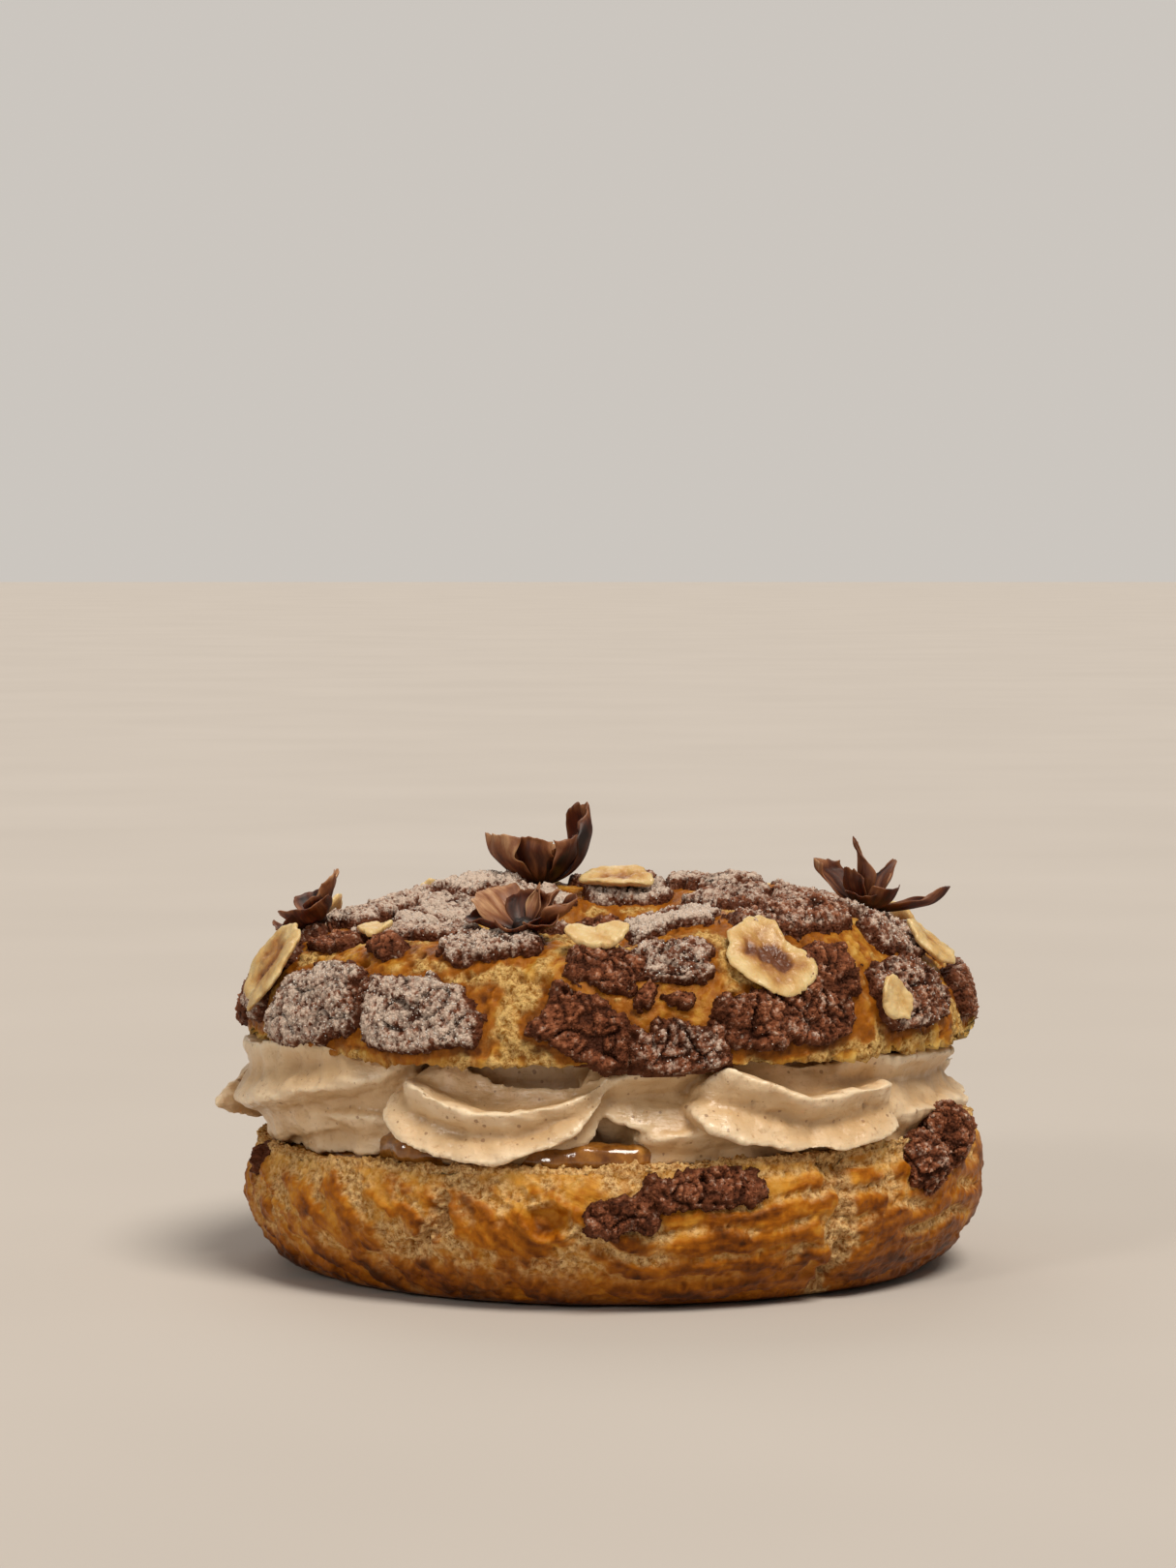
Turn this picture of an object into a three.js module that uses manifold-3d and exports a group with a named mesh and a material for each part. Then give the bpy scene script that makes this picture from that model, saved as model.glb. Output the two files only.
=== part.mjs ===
// A filled choux ring: a ridged base with a praline bead in its trough, piped cream in overlapping shells,
// and a domed lid under cracked cocoa crust, topped with hazelnut slices and dried blooms.
// Millimetres, +Z up, the ring's axis on Z, the base standing on z = 0 and the front facing -Y.
import * as THREE from "three";
import { ParametricGeometry } from "three/addons/geometries/ParametricGeometry.js";
import { mergeVertices } from "three/addons/utils/BufferGeometryUtils.js";
import Module from "manifold-3d";

const wasm = await Module();
wasm.setup();

// Driving dimensions
const TUBE_RADIUS = 29.75; // ring axis to the middle of the baked tube
const HOLE_RADIUS = 14.2; // through the middle, at its narrowest
const FIT_GAP = 0.3; // between pieces that rest on each other

// Base: lower half of the baked ring, cut open along its rim
const BASE_HEIGHT = 17.3;
const BASE_RADIUS = 45.6;
const FOOT_INNER_RADIUS = 20;
const FOOT_OUTER_RADIUS = 36.5;
const RIM_RADIUS = 44.4;
const RIM_WALL = 2;
const TROUGH_FLOOR = 12.4;
const TROUGH_LEAN = 2.4; // how far its walls come in from the rim to the floor

// Praline: a layer in the trough that swells into a bead behind the rim
const PRALINE_LEVEL = 17;
const BEAD_RADIUS = 39.4;
const BEAD_TOP = 19.3;

// Cream: a core ring hidden behind shells piped along its outside and its inside
const CREAM_BOTTOM = BASE_HEIGHT + FIT_GAP;
const LID_UNDERSIDE = 29;
const CREAM_TOP = LID_UNDERSIDE - FIT_GAP;
const CORE_OUTER_RADIUS = 38.2;
const CORE_INNER_RADIUS = 21;
const FLANGES = 6; // points of the star nozzle
const FLANGE_DEPTH = 0.34; // share of a strand's radius between its ridges and its valleys

// Lid: upper half of the baked ring with its crust
const LID_HALF_WIDTH = 15.4;
const LID_RISE = 15.6;
const LID_FULLNESS = 2.15; // exponent of the superellipse: 2 is an ellipse
const CRUST_THICKNESS = 1.7;
const CRUST_EDGE = 1.6; // width of a plate's sloping edge

// Toppings
const NUT_THICKNESS = 1.1;
const PETAL_THICKNESS = 0.55;
const CALYX_RADIUS = 1.3;

// Facets
const LID_AROUND = 100;
const BASE_AROUND = 68;
const PRALINE_AROUND = 36;
const NUT_SIDES = 12;

const TURN = Math.PI * 2;
const radians = THREE.MathUtils.degToRad;

const FINISHES = {
  base: { color: 0xb9772f, roughness: 0.6 },
  praline: { color: 0x7e4c1c, roughness: 0.2 },
  cream: { color: 0xcbab83, roughness: 0.45 },
  lid: { color: 0x6b4128, roughness: 0.8 },
  nut: { color: 0xd9be8c, roughness: 0.55 },
  bloom: { color: 0x4a2715, roughness: 0.65 },
};

// A named piece with a finish of its own.
function piece(name, geometry, finish) {
  const made = new THREE.Mesh(
    geometry,
    new THREE.MeshStandardMaterial({ ...finish, metalness: 0 }),
  );
  made.name = name;
  return made;
}

// One closed skin: shared corners are merged and collapsed triangles are dropped.
function closed(geometry) {
  geometry.deleteAttribute("normal");
  geometry.deleteAttribute("uv");
  const merged = mergeVertices(geometry, 1e-3);
  const corners = merged.index.array;
  const kept = [];
  for (let i = 0; i < corners.length; i += 3) {
    const [a, b, c] = corners.slice(i, i + 3);
    if (a !== b && b !== c && c !== a) kept.push(a, b, c);
  }
  merged.setIndex(kept);
  return merged;
}

function solid(geometry) {
  return new wasm.Manifold(
    new wasm.Mesh({
      numProp: 3,
      vertProperties: geometry.attributes.position.array,
      triVerts: new Uint32Array(geometry.index.array),
    }),
  );
}

function geometryOf(body) {
  const mesh = body.getMesh();
  const geometry = new THREE.BufferGeometry();
  geometry.setAttribute("position", new THREE.BufferAttribute(mesh.vertProperties, 3));
  geometry.setIndex(new THREE.BufferAttribute(mesh.triVerts, 1));
  return geometry;
}

// Eases from 0 to 1 as a value goes from one bound to the other, whichever is the larger.
function ease(from, to, value) {
  return THREE.MathUtils.smoothstep((value - from) / (to - from), 0, 1);
}

// Seeded draw between 0 and 1, one for each whole number.
function draw(number) {
  return THREE.MathUtils.euclideanModulo(Math.sin(number * 12.9898 + 4.1) * 43758.5453, 1);
}

// A ring turned from a closed (radius, height) profile, its skin pushed out along the normal by relief.
// The turn is measured from the front, to the right. The profile starts and ends on a flat.
function ring(profile, around, relief) {
  const lathe = new THREE.LatheGeometry(profile, around);
  lathe.rotateX(Math.PI / 2);
  const place = lathe.attributes.position;
  const skin = lathe.attributes.normal;
  const at = new THREE.Vector3();
  const out = new THREE.Vector3();
  for (let i = 0; i < place.count; i++) {
    const column = Math.floor(i / profile.length);
    const { x: radius, y: height } = profile[i % profile.length];
    const turn = ((column % around) / around) * TURN;
    out.fromBufferAttribute(skin, i);
    at.fromBufferAttribute(place, i).addScaledVector(out, relief(turn, radius, height));
    place.setXYZ(i, at.x, at.y, at.z);
  }
  return closed(lathe);
}

// Slow unevenness of hand piping, between about -1 and 1.
function unevenness(turn, height) {
  return (
    0.45 * Math.sin(3 * turn + 0.09 * height + 0.7) +
    0.35 * Math.sin(5 * turn - 0.12 * height + 2.1) +
    0.2 * Math.sin(11 * turn + 0.3 * height + 4.4)
  );
}

// Distance in millimetres from the outline of an oval plate, along and over the tube: negative inside.
function plateDistance(along, over, plate) {
  const tilt = radians(plate.tilt ?? 0);
  const x = along * Math.cos(tilt) + over * Math.sin(tilt);
  const y = over * Math.cos(tilt) - along * Math.sin(tilt);
  const square = 3;
  const reach = (Math.abs(x / plate.long) ** square + Math.abs(y / plate.wide) ** square) ** (1 / square);
  return (reach - 1) * Math.min(plate.long, plate.wide);
}

function plateHeight(distance) {
  return CRUST_THICKNESS * ease(CRUST_EDGE / 2, -CRUST_EDGE / 2, distance);
}

function turnBetween(turn, degrees) {
  const apart = turn - radians(degrees);
  return Math.atan2(Math.sin(apart), Math.cos(apart));
}

// Cocoa crust that ran down to the base: turn in degrees, height and half sizes in millimetres.
const BASE_CRUST = [
  { turn: 12, height: 14.9, long: 7, wide: 2.2, tilt: 4 },
  { turn: 1.5, height: 11.8, long: 3.2, wide: 1.9, tilt: 20 },
  { turn: 56, height: 13.2, long: 3.4, wide: 3.2 },
  { turn: 66, height: 14.4, long: 3, wide: 2.6 },
  { turn: -80, height: 13.8, long: 2.6, wide: 2.6 },
  { turn: 138, height: 13.4, long: 5.5, wide: 2.3, tilt: -8 },
  { turn: 203, height: 14.2, long: 4, wide: 2.4 },
];

// Where the base split as it rose, in degrees from the front.
const BASE_SPLITS = [-24, 38, 97, 160, 215, 262];
const SPLIT_HALF_TURN = 0.05;

const BASE_OUTER_WALL = [
  [FOOT_OUTER_RADIUS, 0],
  [FOOT_OUTER_RADIUS + 3.2, 0.9],
  [BASE_RADIUS - 2.6, 4],
  [BASE_RADIUS - 0.4, 8],
  [BASE_RADIUS, 11.2],
  [BASE_RADIUS - 0.4, 14.4],
  [RIM_RADIUS, BASE_HEIGHT],
];

// Radius of the trough's outer wall; its inner wall mirrors it across the middle of the tube.
function troughWall(height) {
  return RIM_RADIUS - RIM_WALL - (TROUGH_LEAN * (BASE_HEIGHT - height)) / (BASE_HEIGHT - TROUGH_FLOOR);
}

function mirrored(radius) {
  return 2 * TUBE_RADIUS - radius;
}

function points(list) {
  return list.map(([radius, height]) => new THREE.Vector2(radius, height));
}

function baseProfile() {
  const outside = new THREE.SplineCurve(points(BASE_OUTER_WALL));
  const middle = [(FOOT_INNER_RADIUS + FOOT_OUTER_RADIUS) / 2, 0];
  const trough = [
    [troughWall(BASE_HEIGHT), BASE_HEIGHT],
    [troughWall(TROUGH_FLOOR), TROUGH_FLOOR],
    [mirrored(troughWall(TROUGH_FLOOR)), TROUGH_FLOOR],
    [mirrored(troughWall(BASE_HEIGHT)), BASE_HEIGHT],
    [mirrored(RIM_RADIUS), BASE_HEIGHT],
  ];
  const holeWall = [
    [HOLE_RADIUS, 12],
    [HOLE_RADIUS + 0.6, 6],
    [HOLE_RADIUS + 2.4, 1.8],
    [FOOT_INNER_RADIUS, 0],
  ];
  return [...points([middle]), ...outside.getPoints(11), ...points([...trough, ...holeWall, middle])];
}

// Piping ridges, splits and stuck crust on the base's outer wall. The rim and the foot stay flat.
function baseRelief(turn, radius, height) {
  const wall = ease(0, 3, height) * ease(BASE_HEIGHT, BASE_HEIGHT - 2, height);
  if (radius < FOOT_INNER_RADIUS - 3) return 0.35 * wall * unevenness(turn + 2, height);
  if (radius < TUBE_RADIUS) return 0;
  if (height >= TROUGH_FLOOR && radius < RIM_RADIUS - 0.5) return 0;
  const slope = 1.6 * Math.sin(2 * turn + 0.6) + 0.9 * Math.sin(3 * turn + 2);
  const ridges = 0.32 * Math.cos((height + 2.2 * slope) * (TURN / 4.2));
  const splits = BASE_SPLITS.reduce((deepest, at, i) => {
    const wander = 1.2 * (draw(i) - 0.5) * height;
    const away = turnBetween(turn, at + wander) / SPLIT_HALF_TURN;
    return Math.max(deepest, Math.exp(-away * away));
  }, 0);
  const crust = BASE_CRUST.reduce((highest, plate) => {
    const along = turnBetween(turn, plate.turn) * BASE_RADIUS;
    return Math.max(highest, plateHeight(plateDistance(along, height - plate.height, plate)));
  }, 0);
  return wall * (0.55 * unevenness(turn, height) + ridges - 0.9 * splits + 0.7 * crust);
}

// Section of the praline, with some spare room over and round it where the cream is cut to sit on it.
function pralineProfile(spare) {
  const wall = (height) => troughWall(height) - 1.4 * FIT_GAP;
  const floor = TROUGH_FLOOR + FIT_GAP;
  const shoulder = BASE_HEIGHT - 1.2;
  const side = spare / 2;
  return points([
    [TUBE_RADIUS, floor],
    [wall(floor), floor],
    [wall(shoulder) + side, shoulder],
    [BEAD_RADIUS + 1.5 + side, BEAD_TOP - 0.6 + spare],
    [BEAD_RADIUS, BEAD_TOP + spare],
    [BEAD_RADIUS - 1.7 - side, BEAD_TOP - 1 + spare],
    [BEAD_RADIUS - 2.6 - side, PRALINE_LEVEL + spare],
    [mirrored(wall(PRALINE_LEVEL)), PRALINE_LEVEL + spare],
    [mirrored(wall(floor)), floor],
    [TUBE_RADIUS, floor],
  ]);
}

// The poured bead is thicker in some places than in others.
function pralineRelief(turn, radius, height) {
  return height > PRALINE_LEVEL + 0.6 ? 0.3 * Math.sin(7 * turn + 1) : 0;
}

// Where each outer shell begins, in degrees from the front, and how far each stands out of the row.
const SHELL_STARTS = [-78, -38, -3, 44, 84, 124, 163, 202, 242];
const SHELL_STANDS_OUT = [2.6, 0, 0.4, -0.4, 0.6, 0, 0.7, -0.2, 0.5];
const INNER_SHELLS = 7;

// One piped strand between two turns: it starts high, sags and rises again, and its star section closes at
// both ends.
function strand({ from, to, radius, bulge, level, sag, thick, roll, sides, steps }) {
  const point = (u, v, target) => {
    const lie = Math.sin(Math.PI * v);
    const size = thick * lie ** 0.3;
    const angle = u * TURN;
    const groove = 0.5 - 0.5 * Math.cos(FLANGES * angle);
    const star = size * (1 - FLANGE_DEPTH * groove ** 0.8);
    const lean = angle + radians(30 + roll * (v - 0.5));
    const turn = radians(from + (to - from) * v);
    const r = radius + bulge * lie ** 0.7 + star * Math.cos(lean);
    const height = level - sag * lie ** 0.7 + star * Math.sin(lean);
    return target.set(r * Math.sin(turn), -r * Math.cos(turn), height);
  };
  return closed(new ParametricGeometry((u, v, target) => point(v, u, target), steps, sides));
}

function outerStrand(i) {
  const next = SHELL_STARTS[(i + 1) % SHELL_STARTS.length] + (i + 1 === SHELL_STARTS.length ? 360 : 0);
  return strand({
    from: SHELL_STARTS[i] - 5,
    to: next + 5,
    radius: 35.6,
    bulge: 3.2 + SHELL_STANDS_OUT[i],
    level: 24,
    sag: 3.4,
    thick: 6.8,
    roll: 26,
    sides: 18,
    steps: 8,
  });
}

function innerStrand(i) {
  const wide = 360 / INNER_SHELLS;
  return strand({
    from: i * wide - 6,
    to: (i + 1) * wide + 6,
    radius: 23.2,
    bulge: -1.6,
    level: 23.8,
    sag: 1.4,
    thick: 5.6,
    roll: -20,
    sides: 12,
    steps: 5,
  });
}

// A plain ring with straight walls, for the cream's core and for trimming it between the base and the lid.
function slab(innerRadius, outerRadius, bottom, top, around) {
  const middle = new THREE.Vector2((innerRadius + outerRadius) / 2, bottom);
  const profile = [
    middle,
    new THREE.Vector2(outerRadius, bottom),
    new THREE.Vector2(outerRadius, top),
    new THREE.Vector2(innerRadius, top),
    new THREE.Vector2(innerRadius, bottom),
    middle.clone(),
  ];
  return ring(profile, around, () => 0);
}

function creamGeometry() {
  let cream = solid(slab(CORE_INNER_RADIUS, CORE_OUTER_RADIUS, CREAM_BOTTOM, CREAM_TOP, 48));
  SHELL_STARTS.forEach((_, i) => {
    cream = cream.add(solid(outerStrand(i)));
  });
  for (let i = 0; i < INNER_SHELLS; i++) cream = cream.add(solid(innerStrand(i)));
  const room = slab(HOLE_RADIUS + 0.6, BASE_RADIUS + 6, CREAM_BOTTOM, CREAM_TOP, 48);
  const bead = ring(pralineProfile(FIT_GAP), PRALINE_AROUND, pralineRelief);
  return geometryOf(cream.intersect(solid(room)).subtract(solid(bead)));
}

// The lid's bare dome at a rise over the tube: 0 at the outer edge, 90 at the crest, 180 at the inner edge.
function dome(rise) {
  const power = 2 / LID_FULLNESS;
  const c = Math.cos(radians(rise));
  return new THREE.Vector2(
    TUBE_RADIUS + LID_HALF_WIDTH * Math.sign(c) * Math.abs(c) ** power,
    LID_UNDERSIDE + LID_RISE * Math.abs(Math.sin(radians(rise))) ** power,
  );
}

function riseAt(radius, height) {
  const power = LID_FULLNESS / 2;
  const c = (radius - TUBE_RADIUS) / LID_HALF_WIDTH;
  const s = Math.max(0, (height - LID_UNDERSIDE) / LID_RISE);
  return THREE.MathUtils.radToDeg(Math.atan2(s ** power, Math.sign(c) * Math.abs(c) ** power));
}

// Crust plates across the front: turn and rise in degrees, half sizes in millimetres.
const FRONT_PLATES = [
  { turn: -77, rise: 27, long: 6, wide: 5.4 },
  { turn: -51, rise: 20, long: 8.6, wide: 5.3 },
  { turn: -29.5, rise: 19, long: 7.4, wide: 4.6 },
  { turn: -58, rise: 62, long: 7, wide: 3.6 },
  { turn: -37, rise: 50, long: 5.6, wide: 1.9, tilt: -6 },
  { turn: -18, rise: 58, long: 7, wide: 4.1, tilt: 6 },
  { turn: 4.5, rise: 41, long: 8.8, wide: 3.4 },
  { turn: -4.5, rise: 15, long: 5.6, wide: 3.8, tilt: -18 },
  { turn: 9, rise: 7.5, long: 6.2, wide: 2.8 },
  { turn: 10, rise: 77, long: 5.2, wide: 4 },
  { turn: 37, rise: 68, long: 8.6, wide: 3.4 },
  { turn: 36.5, rise: 36, long: 3.4, wide: 4.2 },
  { turn: 28, rise: 15, long: 9.6, wide: 3.2 },
  { turn: 54, rise: 25, long: 7.2, wide: 4.3 },
  { turn: 65, rise: 53, long: 8.4, wide: 3.3 },
  { turn: 79, rise: 19, long: 5, wide: 3.4 },
];

// Rows that carry the crust round the back and over into the hole.
const PLATE_ROWS = [
  { rise: 20, from: 97, to: 267, count: 8, wide: 4.6 },
  { rise: 53, from: 92, to: 272, count: 9, wide: 3.8 },
  { rise: 84, from: 68, to: 296, count: 9, wide: 3.9 },
  { rise: 112, from: -86, to: 238, count: 11, wide: 3.6 },
  { rise: 148, from: -90, to: 234, count: 8, wide: 4 },
];

function rowPlates() {
  return PLATE_ROWS.flatMap(({ rise, from, to, count, wide }, row) => {
    const pitch = (to - from) / (count - 1);
    const long = (radians(pitch) * dome(rise).x) / 2 - 1.1;
    return Array.from({ length: count }, (_, i) => {
      const chance = row * 31 + i * 3;
      return {
        turn: from + pitch * (i + 0.3 * (draw(chance) - 0.5)),
        rise: rise + 9 * (draw(chance + 1) - 0.5),
        long: long * (0.85 + 0.25 * draw(chance + 2)),
        wide: wide * (0.85 + 0.25 * draw(chance + 1)),
        tilt: 24 * (draw(chance + 2) - 0.5),
      };
    });
  });
}

const PLATES = [...FRONT_PLATES, ...rowPlates()];

function lidProfile() {
  const underside = [0.2, 0.7, 1].map((share) => TUBE_RADIUS + LID_HALF_WIDTH * share);
  const over = [3, 9, 16, 23, 30, 37, 45, 53, 62, 71, 81, 92, 104, 117, 132, 150, 170];
  const middle = new THREE.Vector2(TUBE_RADIUS, LID_UNDERSIDE);
  return [
    middle,
    ...underside.slice(1).map((r) => new THREE.Vector2(r, LID_UNDERSIDE)),
    ...over.map(dome),
    new THREE.Vector2(TUBE_RADIUS - LID_HALF_WIDTH, LID_UNDERSIDE),
    middle.clone(),
  ];
}

// Height of crust plates and bumps over the bare dome.
function lidRelief(turn, radius, height) {
  if (height < LID_UNDERSIDE + 0.01) return 0;
  const rise = riseAt(radius, height);
  const crust = PLATES.reduce((highest, plate) => {
    const along = turnBetween(turn, plate.turn) * radius;
    const over = radians(rise - plate.rise) * LID_RISE;
    return Math.max(highest, plateHeight(plateDistance(along, over, plate)));
  }, 0);
  return 0.5 * unevenness(turn, height) + crust;
}

// A spot on the lid, with Z along the dome's normal and X along the ring, clear of the relief within reach.
function lidSpot(turnDegrees, rise, reach, lift) {
  const turn = radians(turnDegrees);
  const { x: radius, y: height } = dome(rise);
  const across = dome(rise + 0.5).sub(dome(rise - 0.5)).normalize();
  const outward = new THREE.Vector3(Math.sin(turn), -Math.cos(turn), 0);
  const along = new THREE.Vector3(Math.cos(turn), Math.sin(turn), 0);
  const over = outward.clone().multiplyScalar(across.x).setZ(across.y);
  const normal = new THREE.Vector3().crossVectors(along, over);
  let highest = -Infinity;
  for (let x = -reach; x <= reach; x += reach / 4) {
    for (let y = -reach; y <= reach; y += reach / 4) {
      const under = dome(rise + THREE.MathUtils.radToDeg(y / LID_RISE));
      const fallen = (x * x) / (2 * TUBE_RADIUS) + (y * y) / (2 * LID_RISE);
      highest = Math.max(highest, lidRelief(turn + x / radius, under.x, under.y) - 0.6 * fallen);
    }
  }
  const spot = new THREE.Group();
  spot.position.copy(outward.multiplyScalar(radius).setZ(height).addScaledVector(normal, highest + lift));
  spot.quaternion.setFromRotationMatrix(new THREE.Matrix4().makeBasis(along, over, normal));
  return spot;
}

// A sheet given thickness: both faces keep the sheet's triangles, and walls close its edge.
function thickened(sheet, thickness) {
  const flat = closed(sheet);
  flat.computeVertexNormals();
  const count = flat.attributes.position.count;
  const at = new THREE.Vector3();
  const out = new THREE.Vector3();
  const points = [];
  for (const side of [0.5, -0.5]) {
    for (let i = 0; i < count; i++) {
      out.fromBufferAttribute(flat.attributes.normal, i);
      at.fromBufferAttribute(flat.attributes.position, i).addScaledVector(out, side * thickness);
      points.push(at.x, at.y, at.z);
    }
  }
  const corners = flat.index.array;
  const faces = [];
  const uses = new Map();
  for (let i = 0; i < corners.length; i += 3) {
    const face = [corners[i], corners[i + 1], corners[i + 2]];
    faces.push(...face, face[2] + count, face[1] + count, face[0] + count);
    face.forEach((a, k) => {
      const b = face[(k + 1) % 3];
      uses.has(`${b},${a}`) ? uses.delete(`${b},${a}`) : uses.set(`${a},${b}`, [a, b]);
    });
  }
  for (const [a, b] of uses.values()) faces.push(b, a, a + count, b, a + count, b + count);
  const body = new THREE.BufferGeometry();
  body.setAttribute("position", new THREE.Float32BufferAttribute(points, 3));
  body.setIndex(faces);
  return body;
}

// Hazelnut slices: turn and rise in degrees, radius in millimetres, stretch over the dome, and a bite where
// one is broken.
const NUTS = [
  { turn: 26.5, rise: 45, radius: 5.3, stretch: 1.12 },
  { turn: -3, rise: 60, radius: 3.6, stretch: 0.8, bite: 0.75 },
  { turn: -72, rise: 27, radius: 4.9, stretch: 1.25 },
  { turn: 48.5, rise: 21, radius: 2.7, stretch: 1.2 },
  { turn: 74, rise: 50, radius: 4.4, stretch: 1.1 },
  { turn: 178, rise: 99, radius: 5.2, stretch: 0.8 },
  { turn: -52, rise: 80, radius: 3.2, stretch: 1, bite: 0.5 },
  { turn: 118, rise: 34, radius: 4.8, stretch: 1.1 },
  { turn: 152, rise: 52, radius: 3.9, stretch: 1, bite: 0.6 },
  { turn: 214, rise: 40, radius: 5, stretch: 1.15 },
  { turn: 246, rise: 58, radius: 4.2, stretch: 1 },
];

function nutSlice({ radius, stretch, bite = 0 }, seed) {
  const disc = new THREE.CircleGeometry(radius, NUT_SIDES);
  const place = disc.attributes.position;
  for (let i = 1; i < place.count; i++) {
    const angle = ((i - 1) / NUT_SIDES) * TURN;
    const missing = bite * Math.max(0, Math.sin(angle)) ** 3;
    const ragged = 1 + 0.12 * Math.sin(3 * angle + seed) + 0.07 * Math.sin(5 * angle + 2 * seed) - missing;
    const warp = 0.25 * Math.sin(2 * angle + seed);
    place.setXYZ(i, place.getX(i) * ragged, place.getY(i) * ragged * stretch, warp);
  }
  if (bite) place.setXYZ(0, 0, -radius * stretch * 0.55, 0);
  return thickened(disc, NUT_THICKNESS);
}

// Dried blooms. Each petal has its heading round the bloom from the ring's tangent, its length and width, the
// tilt it leaves the calyx at, how far it curls up by its tip, and how deeply it is cupped.
const BLOOMS = [
  {
    name: "bloom_front",
    turn: -19,
    rise: 80,
    petals: [
      { heading: 172, length: 7, width: 6.2, tilt: 10, curl: 34, cup: 0.4 },
      { heading: 6, length: 7.2, width: 3.6, tilt: 4, curl: 26, cup: 0.5 },
      { heading: 42, length: 5, width: 3, tilt: 26, curl: 20, cup: 0.5 },
      { heading: -64, length: 4.6, width: 4, tilt: 6, curl: 8, cup: 0.4 },
      { heading: 118, length: 4.8, width: 3.4, tilt: 26, curl: 24, cup: 0.4 },
    ],
  },
  {
    name: "bloom_left",
    turn: -88,
    rise: 66,
    petals: [
      { heading: -95, length: 6, width: 5.6, tilt: -2, curl: 14, cup: 0.3 },
      { heading: 86, length: 5, width: 3.8, tilt: 18, curl: 16, cup: 0.4 },
      { heading: 20, length: 5, width: 2.8, tilt: 24, curl: 20, cup: 0.5 },
      { heading: 186, length: 4.6, width: 3.6, tilt: 14, curl: 30, cup: 0.4 },
    ],
  },
  {
    name: "bloom_back",
    turn: -162,
    rise: 92,
    petals: [
      { heading: 0, length: 10, width: 5.4, tilt: 30, curl: 40, cup: 0.5 },
      { heading: 180, length: 10.4, width: 5, tilt: 36, curl: 70, cup: 0.5 },
      { heading: 90, length: 5, width: 5, tilt: 34, curl: 30, cup: 0.4 },
      { heading: -90, length: 5, width: 5, tilt: 30, curl: 34, cup: 0.4 },
    ],
  },
  {
    name: "bloom_right",
    turn: 88,
    rise: 84,
    petals: [
      { heading: 70, length: 7.6, width: 3.4, tilt: 66, curl: 24, cup: 0.6 },
      { heading: 128, length: 7, width: 5, tilt: 34, curl: 30, cup: 0.5 },
      { heading: -88, length: 10, width: 3.6, tilt: -8, curl: 44, cup: 0.6 },
      { heading: -30, length: 6, width: 2.8, tilt: 50, curl: -24, cup: 0.5 },
    ],
  },
];

// A petal runs out along X from the calyx, widest past its middle, cupped across and curling up to its tip.
function petalSheet({ length, width, tilt, curl, cup }) {
  const columns = 3;
  const rows = 2;
  const sheet = new THREE.PlaneGeometry(1, 1, columns, rows);
  const place = sheet.attributes.position;
  for (let i = 0; i < place.count; i++) {
    const along = place.getX(i) + 0.5;
    const across = place.getY(i) * 2;
    const half = (width / 2) * (0.18 + 0.82 * Math.sin(Math.PI * (0.03 + 0.87 * along)));
    const bend = radians(tilt + (curl * along) / 2);
    const lift = cup * half * across * across + 0.3 * Math.sin(5 * along + 2 * across);
    const run = length * along;
    const x = run * Math.cos(bend) - lift * Math.sin(bend);
    const z = run * Math.sin(bend) + lift * Math.cos(bend);
    place.setXYZ(i, x, half * across, z);
  }
  return sheet;
}

function bloomGeometry({ petals }) {
  const calyx = new THREE.SphereGeometry(CALYX_RADIUS, 7, 4);
  calyx.translate(0, 0, CALYX_RADIUS);
  return geometryOf(
    petals.reduce((body, petal) => {
      const leaf = thickened(petalSheet(petal), PETAL_THICKNESS);
      leaf.translate(0.6 * CALYX_RADIUS, 0, 0.8 * CALYX_RADIUS);
      leaf.rotateZ(radians(petal.heading));
      return body.add(solid(leaf));
    }, solid(closed(calyx))),
  );
}

const pastry = new THREE.Group();
pastry.add(
  piece("base", ring(baseProfile(), BASE_AROUND, baseRelief), FINISHES.base),
  piece("praline", ring(pralineProfile(0), PRALINE_AROUND, pralineRelief), FINISHES.praline),
  piece("cream", creamGeometry(), FINISHES.cream),
  piece("lid", ring(lidProfile(), LID_AROUND, lidRelief), FINISHES.lid),
);
NUTS.forEach((nut, i) => {
  const spot = lidSpot(nut.turn, nut.rise, nut.radius, FIT_GAP + NUT_THICKNESS / 2);
  spot.add(piece(`nut_${i + 1}`, nutSlice(nut, i), FINISHES.nut));
  pastry.add(spot);
});
BLOOMS.forEach((bloom) => {
  const spot = lidSpot(bloom.turn, bloom.rise, CALYX_RADIUS, FIT_GAP);
  spot.add(piece(bloom.name, bloomGeometry(bloom), FINISHES.bloom));
  pastry.add(spot);
});

export default pastry;
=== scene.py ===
import math

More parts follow.
